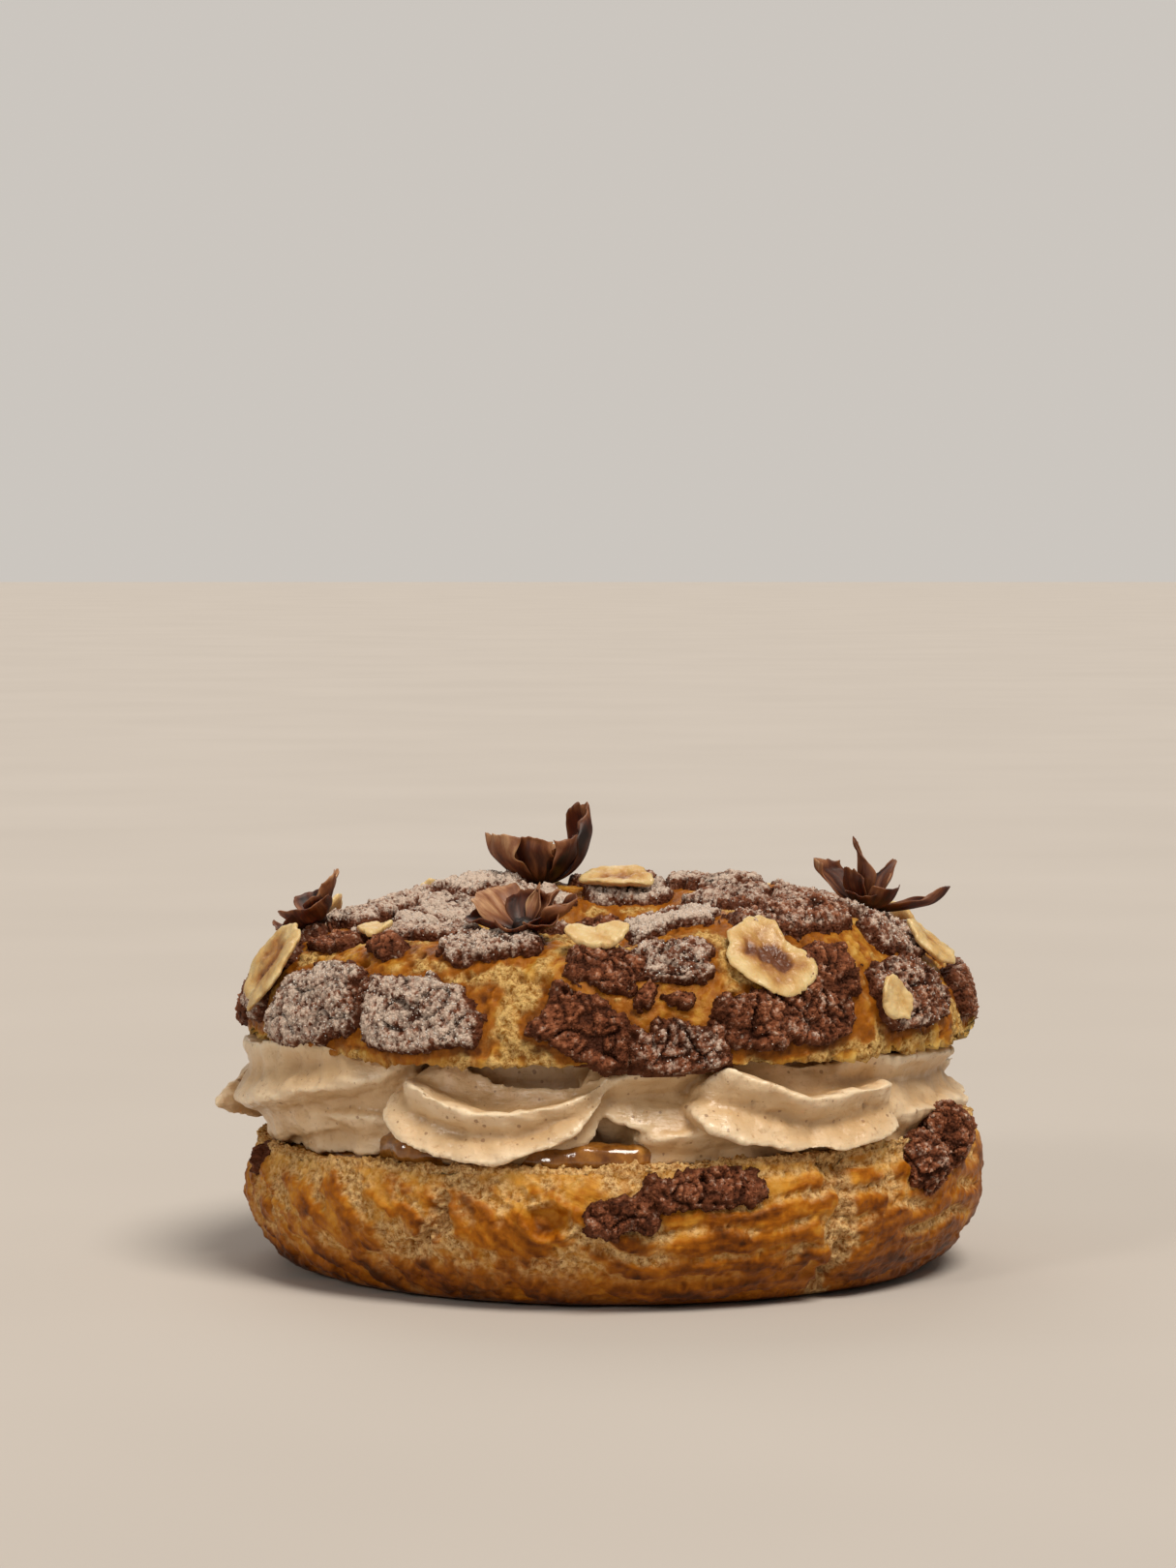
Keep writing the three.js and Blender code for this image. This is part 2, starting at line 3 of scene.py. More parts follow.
import bmesh
import bpy
import numpy as np
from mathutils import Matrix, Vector


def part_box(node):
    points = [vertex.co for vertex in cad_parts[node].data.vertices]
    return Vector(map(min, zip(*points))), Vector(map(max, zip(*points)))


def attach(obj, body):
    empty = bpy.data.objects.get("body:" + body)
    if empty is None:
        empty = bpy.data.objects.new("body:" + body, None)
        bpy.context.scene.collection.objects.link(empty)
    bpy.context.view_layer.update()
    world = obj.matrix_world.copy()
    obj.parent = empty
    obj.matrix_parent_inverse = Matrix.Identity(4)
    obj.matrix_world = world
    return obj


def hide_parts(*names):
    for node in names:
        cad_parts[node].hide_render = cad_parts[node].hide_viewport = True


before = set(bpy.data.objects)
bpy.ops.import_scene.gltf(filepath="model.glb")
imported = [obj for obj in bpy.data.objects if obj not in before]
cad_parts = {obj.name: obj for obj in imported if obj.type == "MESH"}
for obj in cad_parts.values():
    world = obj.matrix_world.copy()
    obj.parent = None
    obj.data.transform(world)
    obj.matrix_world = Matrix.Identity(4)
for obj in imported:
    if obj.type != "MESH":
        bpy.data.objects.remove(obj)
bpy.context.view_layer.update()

# Filled choux ring: baked base and lid, cracked cocoa crust, piped cream, praline,
# hazelnut slices and dried blooms. Shapes are worked out in millimetres and written
# to meshes in metres. Turns are degrees from the front, to the right.

MM = 0.001
FINENESS = 1.0

# Sizes shared with the solids
TUBE_RADIUS = 29.75
BASE_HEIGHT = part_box("base")[1].z / MM
BASE_GIRTH = 45.6
BASE_WALL = [
    (36.5, 0), (39.7, 0.9), (43.0, 4), (45.2, 8), (BASE_GIRTH, 11.2), (45.2, 14.4), (44.4, BASE_HEIGHT)
]
BASE_BRIM = [BASE_WALL[-1], (42.4, BASE_HEIGHT)]
BASE_INSIDE = [BASE_BRIM[-1], (40.0, 12.4), (19.5, 12.4), (17.1, BASE_HEIGHT), (15.1, BASE_HEIGHT)]
BASE_HOLE_WALL = [BASE_INSIDE[-1], (14.2, 12), (14.8, 6), (16.6, 1.8), (20, 0)]
BASE_FOOT = [BASE_HOLE_WALL[-1], BASE_WALL[0]]
LID_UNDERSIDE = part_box("lid")[0].z / MM
LID_HALF_WIDTH = 15.4
LID_RISE = 15.6
LID_FULLNESS = 2.15
LID_INNER = TUBE_RADIUS - LID_HALF_WIDTH
LID_OUTER = TUBE_RADIUS + LID_HALF_WIDTH

# How much the base's rim rises to the right, and how far the lid sinks at its sides
RIM_SLOPE = 0.028
LID_SAG = 2.0
# Rise and turn at which the slabs of crust meet, and the slabs that get fewer grains
LID_CREST = 98.5
SIDE_SEAM = 87
REAR_SLABS = ("crust_back", "crust_hole")
REAR_SHARE = 0.5
CRUST_THICKNESS = 1.9
CRUST_SUNK = 0.9
PLATE_SQUARENESS = 3.6
# Radii along which the lid's grid, its crust's grid and its pits are measured, all near its outer edge
LID_GIRTH = 45.2
CRUST_GIRTH = 44
CRUST_RISE = 16.5
PIT_GIRTH = 43
# Patterns drawn out along the ring: how much they are stretched, and the turn from which they run back
FLOW_STRETCH = 0.22
FOLD_FROM = 120


# Seeded noise

HASH_STEPS = np.array([374761393, 668265263, 1440670441])
LOW_BITS = 0xFFFFFFFF


def hashed(cells, seed):
    """A number between 0 and 1 for each whole-number cell."""
    mixed = (cells @ HASH_STEPS + seed * 974711) & LOW_BITS
    mixed = ((mixed ^ (mixed >> 13)) * 1274126177) & LOW_BITS
    mixed = ((mixed ^ (mixed >> 15)) * 2246822519) & LOW_BITS
    return ((mixed ^ (mixed >> 16)) & 0xFFFFFF) / 16777216.0


def noise(points, size, seed):
    """Smooth bumps between about -1 and 1, roughly size millimetres wide."""
    scaled = points / size
    cell = np.floor(scaled).astype(np.int64)
    part = scaled - cell
    fade = part * part * part * (part * (part * 6 - 15) + 10)
    total = np.zeros(len(points))
    for corner in np.ndindex(2, 2, 2):
        step = np.array(corner)
        away = part - step
        weight = np.where(step, fade, 1 - fade).prod(axis=1)
        slope = [hashed(cell + step, 7 * seed + k) * 2 - 1 for k in range(3)]
        total += weight * (slope[0] * away[:, 0] + slope[1] * away[:, 1] + slope[2] * away[:, 2])
    return total * 1.7


def bumps(points, *kinds):
    """Sum of bumps of several kinds, each given by strength, size and seed."""
    return sum(strength * noise(points, size, seed) for strength, size, seed in kinds)


def layered(points, size, seed):
    """Bumps with finer bumps on them."""
    return sum(noise(points, size / 2**k, seed + 13 * k) / 1.8**k for k in range(3))


def grains(points, size, seed):
    """Distance to the nearest of scattered middles, how much nearer it is than the next,
    and a number drawn for it."""
    scaled = points / size
    cell = np.floor(scaled).astype(np.int64)
    first = np.full(len(points), 9.0)
    second = first.copy()
    drawn = first.copy()
    for offset in np.ndindex(3, 3, 3):
        here = cell + (np.array(offset) - 1)
        middle = here + np.stack([hashed(here, 11 * seed + k) for k in range(3)], axis=1)
        away = np.linalg.norm(scaled - middle, axis=1)
        second = np.minimum(second, np.maximum(first, away))
        drawn = np.where(away < first, hashed(here, 11 * seed + 5), drawn)
        first = np.minimum(first, away)
    return first, second - first, drawn


def ease(start, end, value):
    share = np.clip((value - start) / (end - start), 0, 1)
    return share * share * (3 - 2 * share)


def draw(number):
    """Seeded draw between 0 and 1, one for each whole number."""
    return (math.sin(number * 12.9898 + 4.1) * 43758.5453) % 1


# Meshes

def flat_grid(first, second):
    """Every pair of two lists' values, as two flat arrays that run through the second list faster."""
    return (values.ravel() for values in np.meshgrid(first, second, indexing="ij"))


def mesh_object(name, points, faces, fields=None):
    """A smooth object from points in millimetres, with one point attribute for each named field."""
    mesh = bpy.data.meshes.new(name)
    faces = np.asarray(faces, dtype=np.int32)
    mesh.vertices.add(len(points))
    move_points(mesh, points)
    mesh.loops.add(faces.size)
    mesh.loops.foreach_set("vertex_index", faces.ravel())
    mesh.polygons.add(len(faces))
    mesh.polygons.foreach_set("loop_start", np.arange(0, faces.size, faces.shape[1], dtype=np.int32))
    mesh.update(calc_edges=True)
    set_fields(mesh, fields or {})
    mesh.shade_smooth()
    return in_scene(name, mesh)


def in_scene(name, data):
    made = bpy.data.objects.new(name, data)
    bpy.context.scene.collection.objects.link(made)
    return made


def set_fields(mesh, fields):
    for field, values in fields.items():
        values = np.asarray(values, dtype=np.float32)
        kind, key = ("FLOAT", "value") if values.ndim == 1 else ("FLOAT_VECTOR", "vector")
        mesh.attributes.new(field, kind, "POINT").data.foreach_set(key, values.ravel())


def vectors_of(items, key):
    """A vector of each vertex or vertex normal."""
    flat = np.empty(len(items) * 3, dtype=np.float32)
    items.foreach_get(key, flat)
    return flat.reshape(-1, 3).astype(np.float64)


def move_points(mesh, points):
    """Sets a mesh's points, given in millimetres."""
    mesh.vertices.foreach_set("co", (np.asarray(points) * MM).astype(np.float32).ravel())


def grid_faces(columns, rows, columns_close, rows_close):
    """Quads of a grid of points stored column by column."""
    i, j = flat_grid(
        np.arange(columns if columns_close else columns - 1), np.arange(rows if rows_close else rows - 1)
    )
    right, up = (i + 1) % columns, (j + 1) % rows
    return np.stack([i * rows + j, right * rows + j, right * rows + up, i * rows + up], axis=1)


def shell_faces(faces, count):
    """Faces of a closed shell: a sheet, its back numbered that much further on,
    and walls along the sheet's open edges."""
    edges = np.stack([faces, np.roll(faces, -1, axis=1)], axis=-1).reshape(-1, 2).astype(np.int64)
    there_and_back = edges @ [count, 1], edges @ [1, count]
    first, second = edges[~np.isin(*there_and_back)].T
    walls = np.stack([second, first, first + count, second + count], axis=1)
    return np.vstack([faces, faces[:, ::-1] + count, walls])


def ball_grid(columns, rows, highest):
    """Directions out of a ball's middle, up to that many radians above and below it,
    and the faces between them."""
    around, up = flat_grid(
        np.linspace(0, 2 * math.pi, columns, endpoint=False), np.linspace(-highest, highest, rows)
    )
    out = np.column_stack([np.cos(around) * np.cos(up), np.sin(around) * np.cos(up), np.sin(up)])
    return out, grid_faces(columns, rows, True, False)


def plain_mesh(source):
    """Replaces an object's modifiers with the mesh that they make."""
    evaluated = source.evaluated_get(bpy.context.evaluated_depsgraph_get())
    made = bpy.data.meshes.new_from_object(evaluated)
    source.modifiers.clear()
    old = source.data
    source.data = made
    bpy.data.meshes.remove(old)
    made.name = source.name
    return made


def joined(name, parts):
    """One object from several, with their attributes; the parts are removed."""
    merged = bmesh.new()
    for part in parts:
        merged.from_mesh(part.data)
    mesh = bpy.data.meshes.new(name)
    merged.to_mesh(mesh)
    merged.free()
    for material in parts[0].data.materials:
        mesh.materials.append(material)
    for part in parts:
        bpy.data.objects.remove(part)
    mesh.shade_smooth()
    return in_scene(name, mesh)


def filled(made):
    """Closes every open edge loop of an object's mesh with a face."""
    work = bmesh.new()
    work.from_mesh(made.data)
    bmesh.ops.holes_fill(work, edges=[e for e in work.edges if e.is_boundary], sides=0)
    work.to_mesh(made.data)
    work.free()
    return made


def finished(piece, slot, material, *nodes):
    piece.data.materials.clear()
    piece.data.materials.append(material)
    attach(piece, "root")
    if nodes:
        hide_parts(*nodes)
    return piece


# Node trees

class NodeBoard:
    """Adds nodes to a tree and wires them. An input takes a plain value or another node's socket."""

    def __init__(self, tree):
        self.tree = tree

    def add(self, kind, inputs=None, **settings):
        node = self.tree.nodes.new(kind)
        for setting, value in settings.items():
            setattr(node, setting, value)
        for key, value in (inputs or {}).items():
            self.feed(node.inputs[key], value)
        return node

    def feed(self, socket, value):
        if isinstance(value, bpy.types.NodeSocket):
            self.tree.links.new(value, socket)
        else:
            socket.default_value = value

    def math(self, operation, *values, clamp=False):
        node = self.add("ShaderNodeMath", operation=operation, use_clamp=clamp)
        for socket, value in zip(node.inputs, values):
            self.feed(socket, value)
        return node.outputs[0]

    def plus(self, value, gain, base):
        """A value times a gain, added to another."""
        return self.math("MULTIPLY_ADD", value, gain, base)

    def minus(self, first, second, clamp=False):
        return self.math("SUBTRACT", first, second, clamp=clamp)

    def times(self, first, second):
        return self.math("MULTIPLY", first, second)

    def between(self, low, high, share):
        """Blend of two numbers."""
        node = self.add("ShaderNodeMix", data_type="FLOAT", clamp_factor=True)
        for socket, value in zip((node.inputs[0], node.inputs[2], node.inputs[3]), (share, low, high)):
            self.feed(socket, value)
        return node.outputs[0]

    def remap(self, value, low, high, out_low=0.0, out_high=1.0):
        node = self.add("ShaderNodeMapRange", interpolation_type="SMOOTHSTEP")
        for socket, given in zip(node.inputs, (value, low, high, out_low, out_high)):
            self.feed(socket, given)
        return node.outputs[0]


class FinishBoard(NodeBoard):
    """A procedural material on Object coordinates, with sizes in millimetres."""

    def __init__(self, name, **surface):
        self.material = bpy.data.materials.new(name)
        self.material.use_nodes = True
        super().__init__(self.material.node_tree)
        self.shader = self.tree.nodes["Principled BSDF"]
        for socket, value in surface.items():
            self.shader.inputs[socket.replace("_", " ")].default_value = value
        self.place = self.add("ShaderNodeTexCoord").outputs["Object"]

    def field(self, name, output="Fac"):
        return self.add("ShaderNodeAttribute", attribute_name=name).outputs[output]

    def mottle(self, size, detail=3.0, roughness=0.55, place=None, unit=MM):
        """Cloudy noise between 0 and 1 with features of about that size."""
        values = {"Vector": place or self.place, "Scale": 0.5 / (size * unit)}
        values |= {"Detail": detail, "Roughness": roughness}
        return self.add("ShaderNodeTexNoise", values).outputs["Fac"]

    def drawn_out(self, size, detail=3.0, roughness=0.55):
        """Cloudy noise along the flow that is stored with the mesh."""
        return self.mottle(size, detail, roughness, self.field("flow", "Vector"), 1.0)

    def spots(self, size):
        """Distance from scattered middles about that far apart, and a colour drawn for each."""
        return self.add("ShaderNodeTexVoronoi", {"Vector": self.place, "Scale": 1 / (size * MM)}).outputs

    def ramp(self, value, *stops):
        """Colours along a value, each stop given by its place and its display colour."""
        node = self.add("ShaderNodeValToRGB", {"Fac": value})
        band = node.color_ramp.elements
        while len(band) < len(stops):
            band.new(0.5)
        for element, (at, *display) in zip(band, stops):
            element.position = at
            element.color = colour(*display)
        return node.outputs["Color"]

    def mix(self, share, first, second):
        """Blend of two colours."""
        node = self.add("ShaderNodeMix", data_type="RGBA", clamp_factor=True)
        for socket, value in zip((node.inputs[0], node.inputs[6], node.inputs[7]), (share, first, second)):
            self.feed(socket, value)
        return node.outputs[2]

    def bump(self, height, depth, strength=1.0, under=None):
        values = {"Height": height, "Distance": depth * MM, "Strength": strength}
        if under is not None:
            values["Normal"] = under
        return self.add("ShaderNodeBump", values).outputs["Normal"]

    def set(self, **sockets):
        for socket, value in sockets.items():
            self.feed(self.shader.inputs[socket.replace("_", " ")], value)
        return self.material


def colour(red, green, blue):
    """A linear colour from 0 to 255 display values."""
    linear = [v / 255 / 12.92 if v <= 10 else ((v / 255 + 0.055) / 1.055) ** 2.4 for v in (red, green, blue)]
    return (*linear, 1.0)


# Finishes

def choux_finish(name, stops, crumb, crumb_shade):
    board = FinishBoard(
        name, Specular_IOR_Level=0.2, Specular_Tint=(1.0, 0.8, 0.5, 1),
        Subsurface_Weight=0.12, Subsurface_Scale=0.001, Subsurface_Radius=(1.6, 0.8, 0.3),
    )
    coarse = board.mottle(2.4, 4)
    fine = board.mottle(0.6, 3)
    # Browning, with painted shade in pits, pores and splits and painted highlight on the fluff
    shade = board.plus(coarse, 0.5, board.field("bake"))
    shade = board.plus(fine, 0.36, shade)
    baked = board.ramp(board.minus(shade, 0.43, clamp=True), *stops)
    fibres = board.mottle(0.32, 4, roughness=0.7)
    open_crumb = board.field("crumb")
    torn = board.remap(board.plus(coarse, 0.7, board.minus(open_crumb, 0.35)), 0.05, 0.8)
    inner = board.ramp(fibres, (0.37, *crumb_shade), (0.6, *crumb))
    skin = board.plus(board.drawn_out(0.4), 0.5, board.times(fibres, 0.25))
    pores = board.bump(board.between(skin, board.times(fibres, 1.5), torn), 0.45, 0.9)
    return board.set(
        Base_Color=board.mix(torn, baked, inner),
        Roughness=board.between(0.42, 0.85, torn),
        Normal=board.bump(board.mottle(1.7, 3), 0.3, 0.5, pores),
    )


def crust_finish():
    board = FinishBoard("cocoa_crust", Specular_IOR_Level=0.24, Specular_Tint=(1.0, 0.78, 0.6, 1))
    # The grains' own tone with its painted shade, also used to lift the dusting
    height = board.field("grain")
    fine = board.mottle(0.45, 3, roughness=0.7)
    shade = board.plus(fine, 0.5, height)
    dark = board.ramp(
        board.minus(shade, 0.25, clamp=True),
        (0.0, 46, 18, 8),
        (0.4, 116, 64, 40),
        (0.75, 156, 97, 66),
        (1.0, 186, 136, 102),
    )
    # Painted shade in the crust's cracks, seams and along its edges
    seared = board.mix(board.field("seared"), dark, colour(62, 24, 8))
    grit = board.bump(board.mottle(0.4, 4, roughness=0.75), 0.25, 0.8)
    clumps = board.mottle(1.3, 4, roughness=0.75)
    sand = board.spots(0.4)
    patchy = board.plus(clumps, 1.2, board.plus(fine, 1.5, -1.28))
    dust = board.math("ADD", board.field("sugar"), patchy)
    dust = board.plus(board.minus(height, 0.45), 0.6, dust)
    dust = board.plus(board.minus(sand["Color"], 0.5), 0.5, dust)
    white = board.remap(dust, 0.22, 0.95, 0.0, 0.86)
    return board.set(
        Base_Color=board.mix(white, seared, colour(212, 194, 178)),
        Roughness=board.between(0.8, 0.55, board.field("seared")),
        Normal=board.bump(board.minus(1.0, sand["Distance"]), 0.3, 0.8, grit),
    )


def cream_finish():
    board = FinishBoard(
        "praline_cream", Specular_IOR_Level=0.65,
        Subsurface_Weight=0.16, Subsurface_Scale=0.0015, Subsurface_Radius=(1.2, 0.8, 0.5),
    )
    # Painted highlight on the cream's ridges and painted shade in the valleys between them
    painted_ridge_shade = board.plus(board.mottle(5, 3), 0.4, board.minus(board.field("ridge"), 0.2))
    body = board.ramp(painted_ridge_shade, (0.1, 168, 128, 80), (0.48, 206, 173, 130), (0.85, 234, 211, 178))
    spots = board.spots(0.84)
    reach = board.plus(board.math("POWER", spots["Color"], 3.3), 0.6, -0.03)
    ragged = board.plus(board.mottle(0.3, 2), 0.2, spots["Distance"])
    specks = board.remap(board.minus(ragged, reach), 0.06, -0.02)
    faint = board.remap(board.mottle(0.45, 3, roughness=0.7), 0.54, 0.72, 0.0, 0.5)
    flecked = board.mix(faint, body, colour(164, 122, 78))
    return board.set(
        Base_Color=board.mix(board.times(specks, 0.6), flecked, colour(118, 72, 38)),
        Normal=board.bump(board.drawn_out(0.5), 0.24, 0.7, board.bump(board.mottle(0.8, 4), 0.32, 0.7)),
        Roughness=board.remap(board.mottle(3, 3), 0.3, 0.7, 0.27, 0.5),
    )


def praline_finish():
    board = FinishBoard(
        "praline", Roughness=0.14, Specular_IOR_Level=0.6, Coat_Weight=0.4, Coat_Roughness=0.08
    )
    bits = board.mottle(0.9, 4)
    tint = board.ramp(bits, (0.3, 96, 52, 12), (0.55, 142, 90, 30), (0.75, 180, 126, 56))
    return board.set(Base_Color=tint, Normal=board.bump(board.mottle(0.9, 3), 0.25, 0.5))


def nut_finish():
    board = FinishBoard(
        "hazelnut", Specular_IOR_Level=0.5,
        Subsurface_Weight=0.3, Subsurface_Scale=0.001, Subsurface_Radius=(1.5, 1.0, 0.5),
    )
    fine = board.mottle(0.35, 3, roughness=0.7)
    toast = board.plus(board.mottle(1.3, 4), 0.5, board.minus(board.field("toast"), 0.25))
    toast = board.plus(fine, 0.3, board.minus(toast, 0.15))
    tint = board.ramp(
        toast,
        (0.0, 212, 186, 134),
        (0.3, 196, 156, 94),
        (0.56, 158, 106, 50),
        (0.8, 100, 54, 26),
    )
    return board.set(
        Base_Color=tint,
        Roughness=board.remap(fine, 0.3, 0.7, 0.26, 0.5),
        Normal=board.bump(fine, 0.16, 0.8, board.bump(board.mottle(0.9, 3), 0.25, 0.6)),
    )


def petal_finish():
    board = FinishBoard(
        "dried_petal", Roughness=0.5, Specular_IOR_Level=0.4,
        Subsurface_Weight=0.08, Subsurface_Scale=0.001, Subsurface_Radius=(1.6, 0.7, 0.3),
    )
    streaks = board.drawn_out(0.4, 4, 0.65)
    patches = board.mottle(2.4, 3)
    shade = board.plus(streaks, 0.75, board.plus(patches, 0.5, -0.32))
    shade = board.plus(board.field("faded"), 0.42, shade)
    tint = board.ramp(
        shade,
        (0.2, 26, 10, 5),
        (0.42, 74, 34, 15),
        (0.66, 132, 82, 50),
        (0.95, 196, 152, 112),
    )
    return board.set(Base_Color=tint, Normal=board.bump(streaks, 0.12, 0.8))


def sugar_finish():
    board = FinishBoard("sugar_grain", Roughness=0.2, Specular_IOR_Level=0.6, Transmission_Weight=0.25)
    tint = board.ramp(board.mottle(0.8, 2), (0.2, 226, 216, 206), (0.8, 250, 246, 240))
    return board.set(Base_Color=tint)


# Baked ring surfaces

def through(corners, step):
    """Points about step millimetres apart along a smooth curve through corners."""
    corners = np.array(corners, dtype=float)
    padded = np.vstack([2 * corners[0] - corners[1], corners, 2 * corners[-1] - corners[-2]])
    dense = []
    for a, b, c, d in zip(padded, padded[1:], padded[2:], padded[3:]):
        slope, bend, twist = c - a, 2 * a - 5 * b + 4 * c - d, 3 * b - a - 3 * c + d
        for t in np.linspace(0, 1, 40, endpoint=False):
            dense.append(0.5 * (2 * b + slope * t + bend * t * t + twist * t**3))
    dense.append(corners[-1])
    return evenly(np.array(dense), step)


def evenly(line, step):
    """Points about step millimetres apart along straight stretches."""
    line = np.array(line, dtype=float)
    run = np.concatenate([[0], np.cumsum(np.linalg.norm(np.diff(line, axis=0), axis=1))])
    at = np.linspace(0, run[-1], max(2, int(round(run[-1] / step)) + 1))
    return np.stack([np.interp(at, run, line[:, k]) for k in range(line.shape[1])], axis=1)


def outward(turn):
    """Level direction away from the ring's axis at a turn."""
    angle = np.radians(turn)
    return np.stack([np.sin(angle), -np.cos(angle)], axis=-1)


class RingSkin:
    """Points of a skin swept round the ring: a grid of turns by a section, with outward normals."""

    def __init__(self, section, turns):
        self.rows = len(section)
        self.columns = len(turns)
        along = np.roll(section, -1, axis=0) - np.roll(section, 1, axis=0)
        along /= np.linalg.norm(along, axis=1)[:, None] + 1e-9
        self.turn, row = flat_grid(turns, np.arange(self.rows))
        self.radius, self.height = section[row].T
        self.spin = outward(self.turn)
        self.normal = np.column_stack([self.spin * along[row, 1:2], -along[row, 0]])
        self.points = np.column_stack([self.spin * self.radius[:, None], self.height])
        self.faces = grid_faces(self.columns, self.rows, True, True)

    def pushed(self, relief):
        return self.points + self.normal * np.asarray(relief)[:, None]


def full_turn(step, radius):
    count = int(round(2 * math.pi * radius / (step / FINENESS)))
    return np.linspace(0, 360, count, endpoint=False)


def ring_turns(front_step, back_step, radius):
    """Turns all round, closer together over the front half."""
    half = math.pi * radius
    front = np.linspace(-90, 90, int(half / (front_step / FINENESS)), endpoint=False)
    back = np.linspace(90, 270, int(half / (back_step / FINENESS)), endpoint=False)
    return np.concatenate([front, back])


def apart(turn, other):
    """Signed degrees between turns."""
    return (turn - other + 180) % 360 - 180


def unevenness(turn, height):
    """Slow unevenness of hand piping, as on the solids."""
    t = np.radians(turn)
    return (
        0.45 * np.sin(3 * t + 0.09 * height + 0.7)
        + 0.35 * np.sin(5 * t - 0.12 * height + 2.1)
        + 0.2 * np.sin(11 * t + 0.3 * height + 4.4)
    )


# Base

# Splits that opened as the base rose: turn at the foot and at the rim, half width, depth, lowest
# and highest reach.
SPLITS = [
    (-33, -25, 2.4, 1.7, 6, 14),
    (37, 36, 2.9, 1.2, -2, 20),
    (97, 92, 2.4, 1.1, 1, 16),
    (160, 166, 2.1, 1.0, 0, 18),
    (215, 209, 1.5, 0.9, 3, 15),
    (262, 266, 1.8, 1.0, 2, 17),
    (-68, -62, 0.9, 0.6, 5, 14),
]
# Burst blisters: turn, height, half width and half height.
BLISTERS = [(-9.5, 11.2, 2.9, 2.1), (131, 9, 2.6, 1.9), (238, 12, 3.0, 2.0)]
# Ridges left by the nozzle: turn, how steeply they fall to the right and how far apart they lie
# one above the other.
RIDGE_COURSE = [
    (-180, 0.3, 3.6), (-120, 0.6, 4.0), (-90, 0.75, 4.6), (-20, 0.75, 4.4), (-6, 0.35, 3.6), (4, 0.02, 2.9),
    (60, -0.06, 2.9), (100, 0.3, 3.2), (140, 0.6, 3.8), (180, 0.3, 3.6),
]
# Crust that ran down on the base: turn, height, half length, half width and tilt.
BASE_LUMPS = [
    (13, 14.5, 7.6, 2.3, 4), (1.5, 11.6, 3.8, 2.2, 20), (-72, 14.2, 2.0, 1.7, 0),
    (138, 13.4, 5.5, 2.3, -8), (203, 14.2, 4, 2.4, 0),
]
# Crust balls on its rim: turn, height, distance from the middle and radius.
RIM_LUMPS = [(55.5, 15.5, 44.5, 4.5), (63, 18.0, 44.2, 4.5)]


def ridge_lines(turn, height):
    """How many ridges up a point lies; whole numbers are the ridges' backs."""
    course = np.array(RIDGE_COURSE)
    at = np.linspace(-180, 180, 721)
    fall = np.interp(at, course[:, 0], course[:, 1])
    arc = np.radians(0.5) * BASE_GIRTH
    rows = course[0, 2]
    fall += (round(fall[1:].sum() * arc / rows) * rows - fall[1:].sum() * arc) / (720 * arc)
    drop = np.cumsum(fall) * arc
    drop -= np.interp(0, at, drop)
    here = apart(turn, 0)
    return (height + np.interp(here, at, drop)) / np.interp(here, course[:, 0], course[:, 2])


def folded(turn):
    """Degrees from the front that run back to zero behind, so a pattern laid along them meets itself."""
    lap = apart(turn, 0)
    return np.where(np.abs(lap) > FOLD_FROM, np.sign(lap) * (3 * FOLD_FROM - 2 * np.abs(lap)), lap)


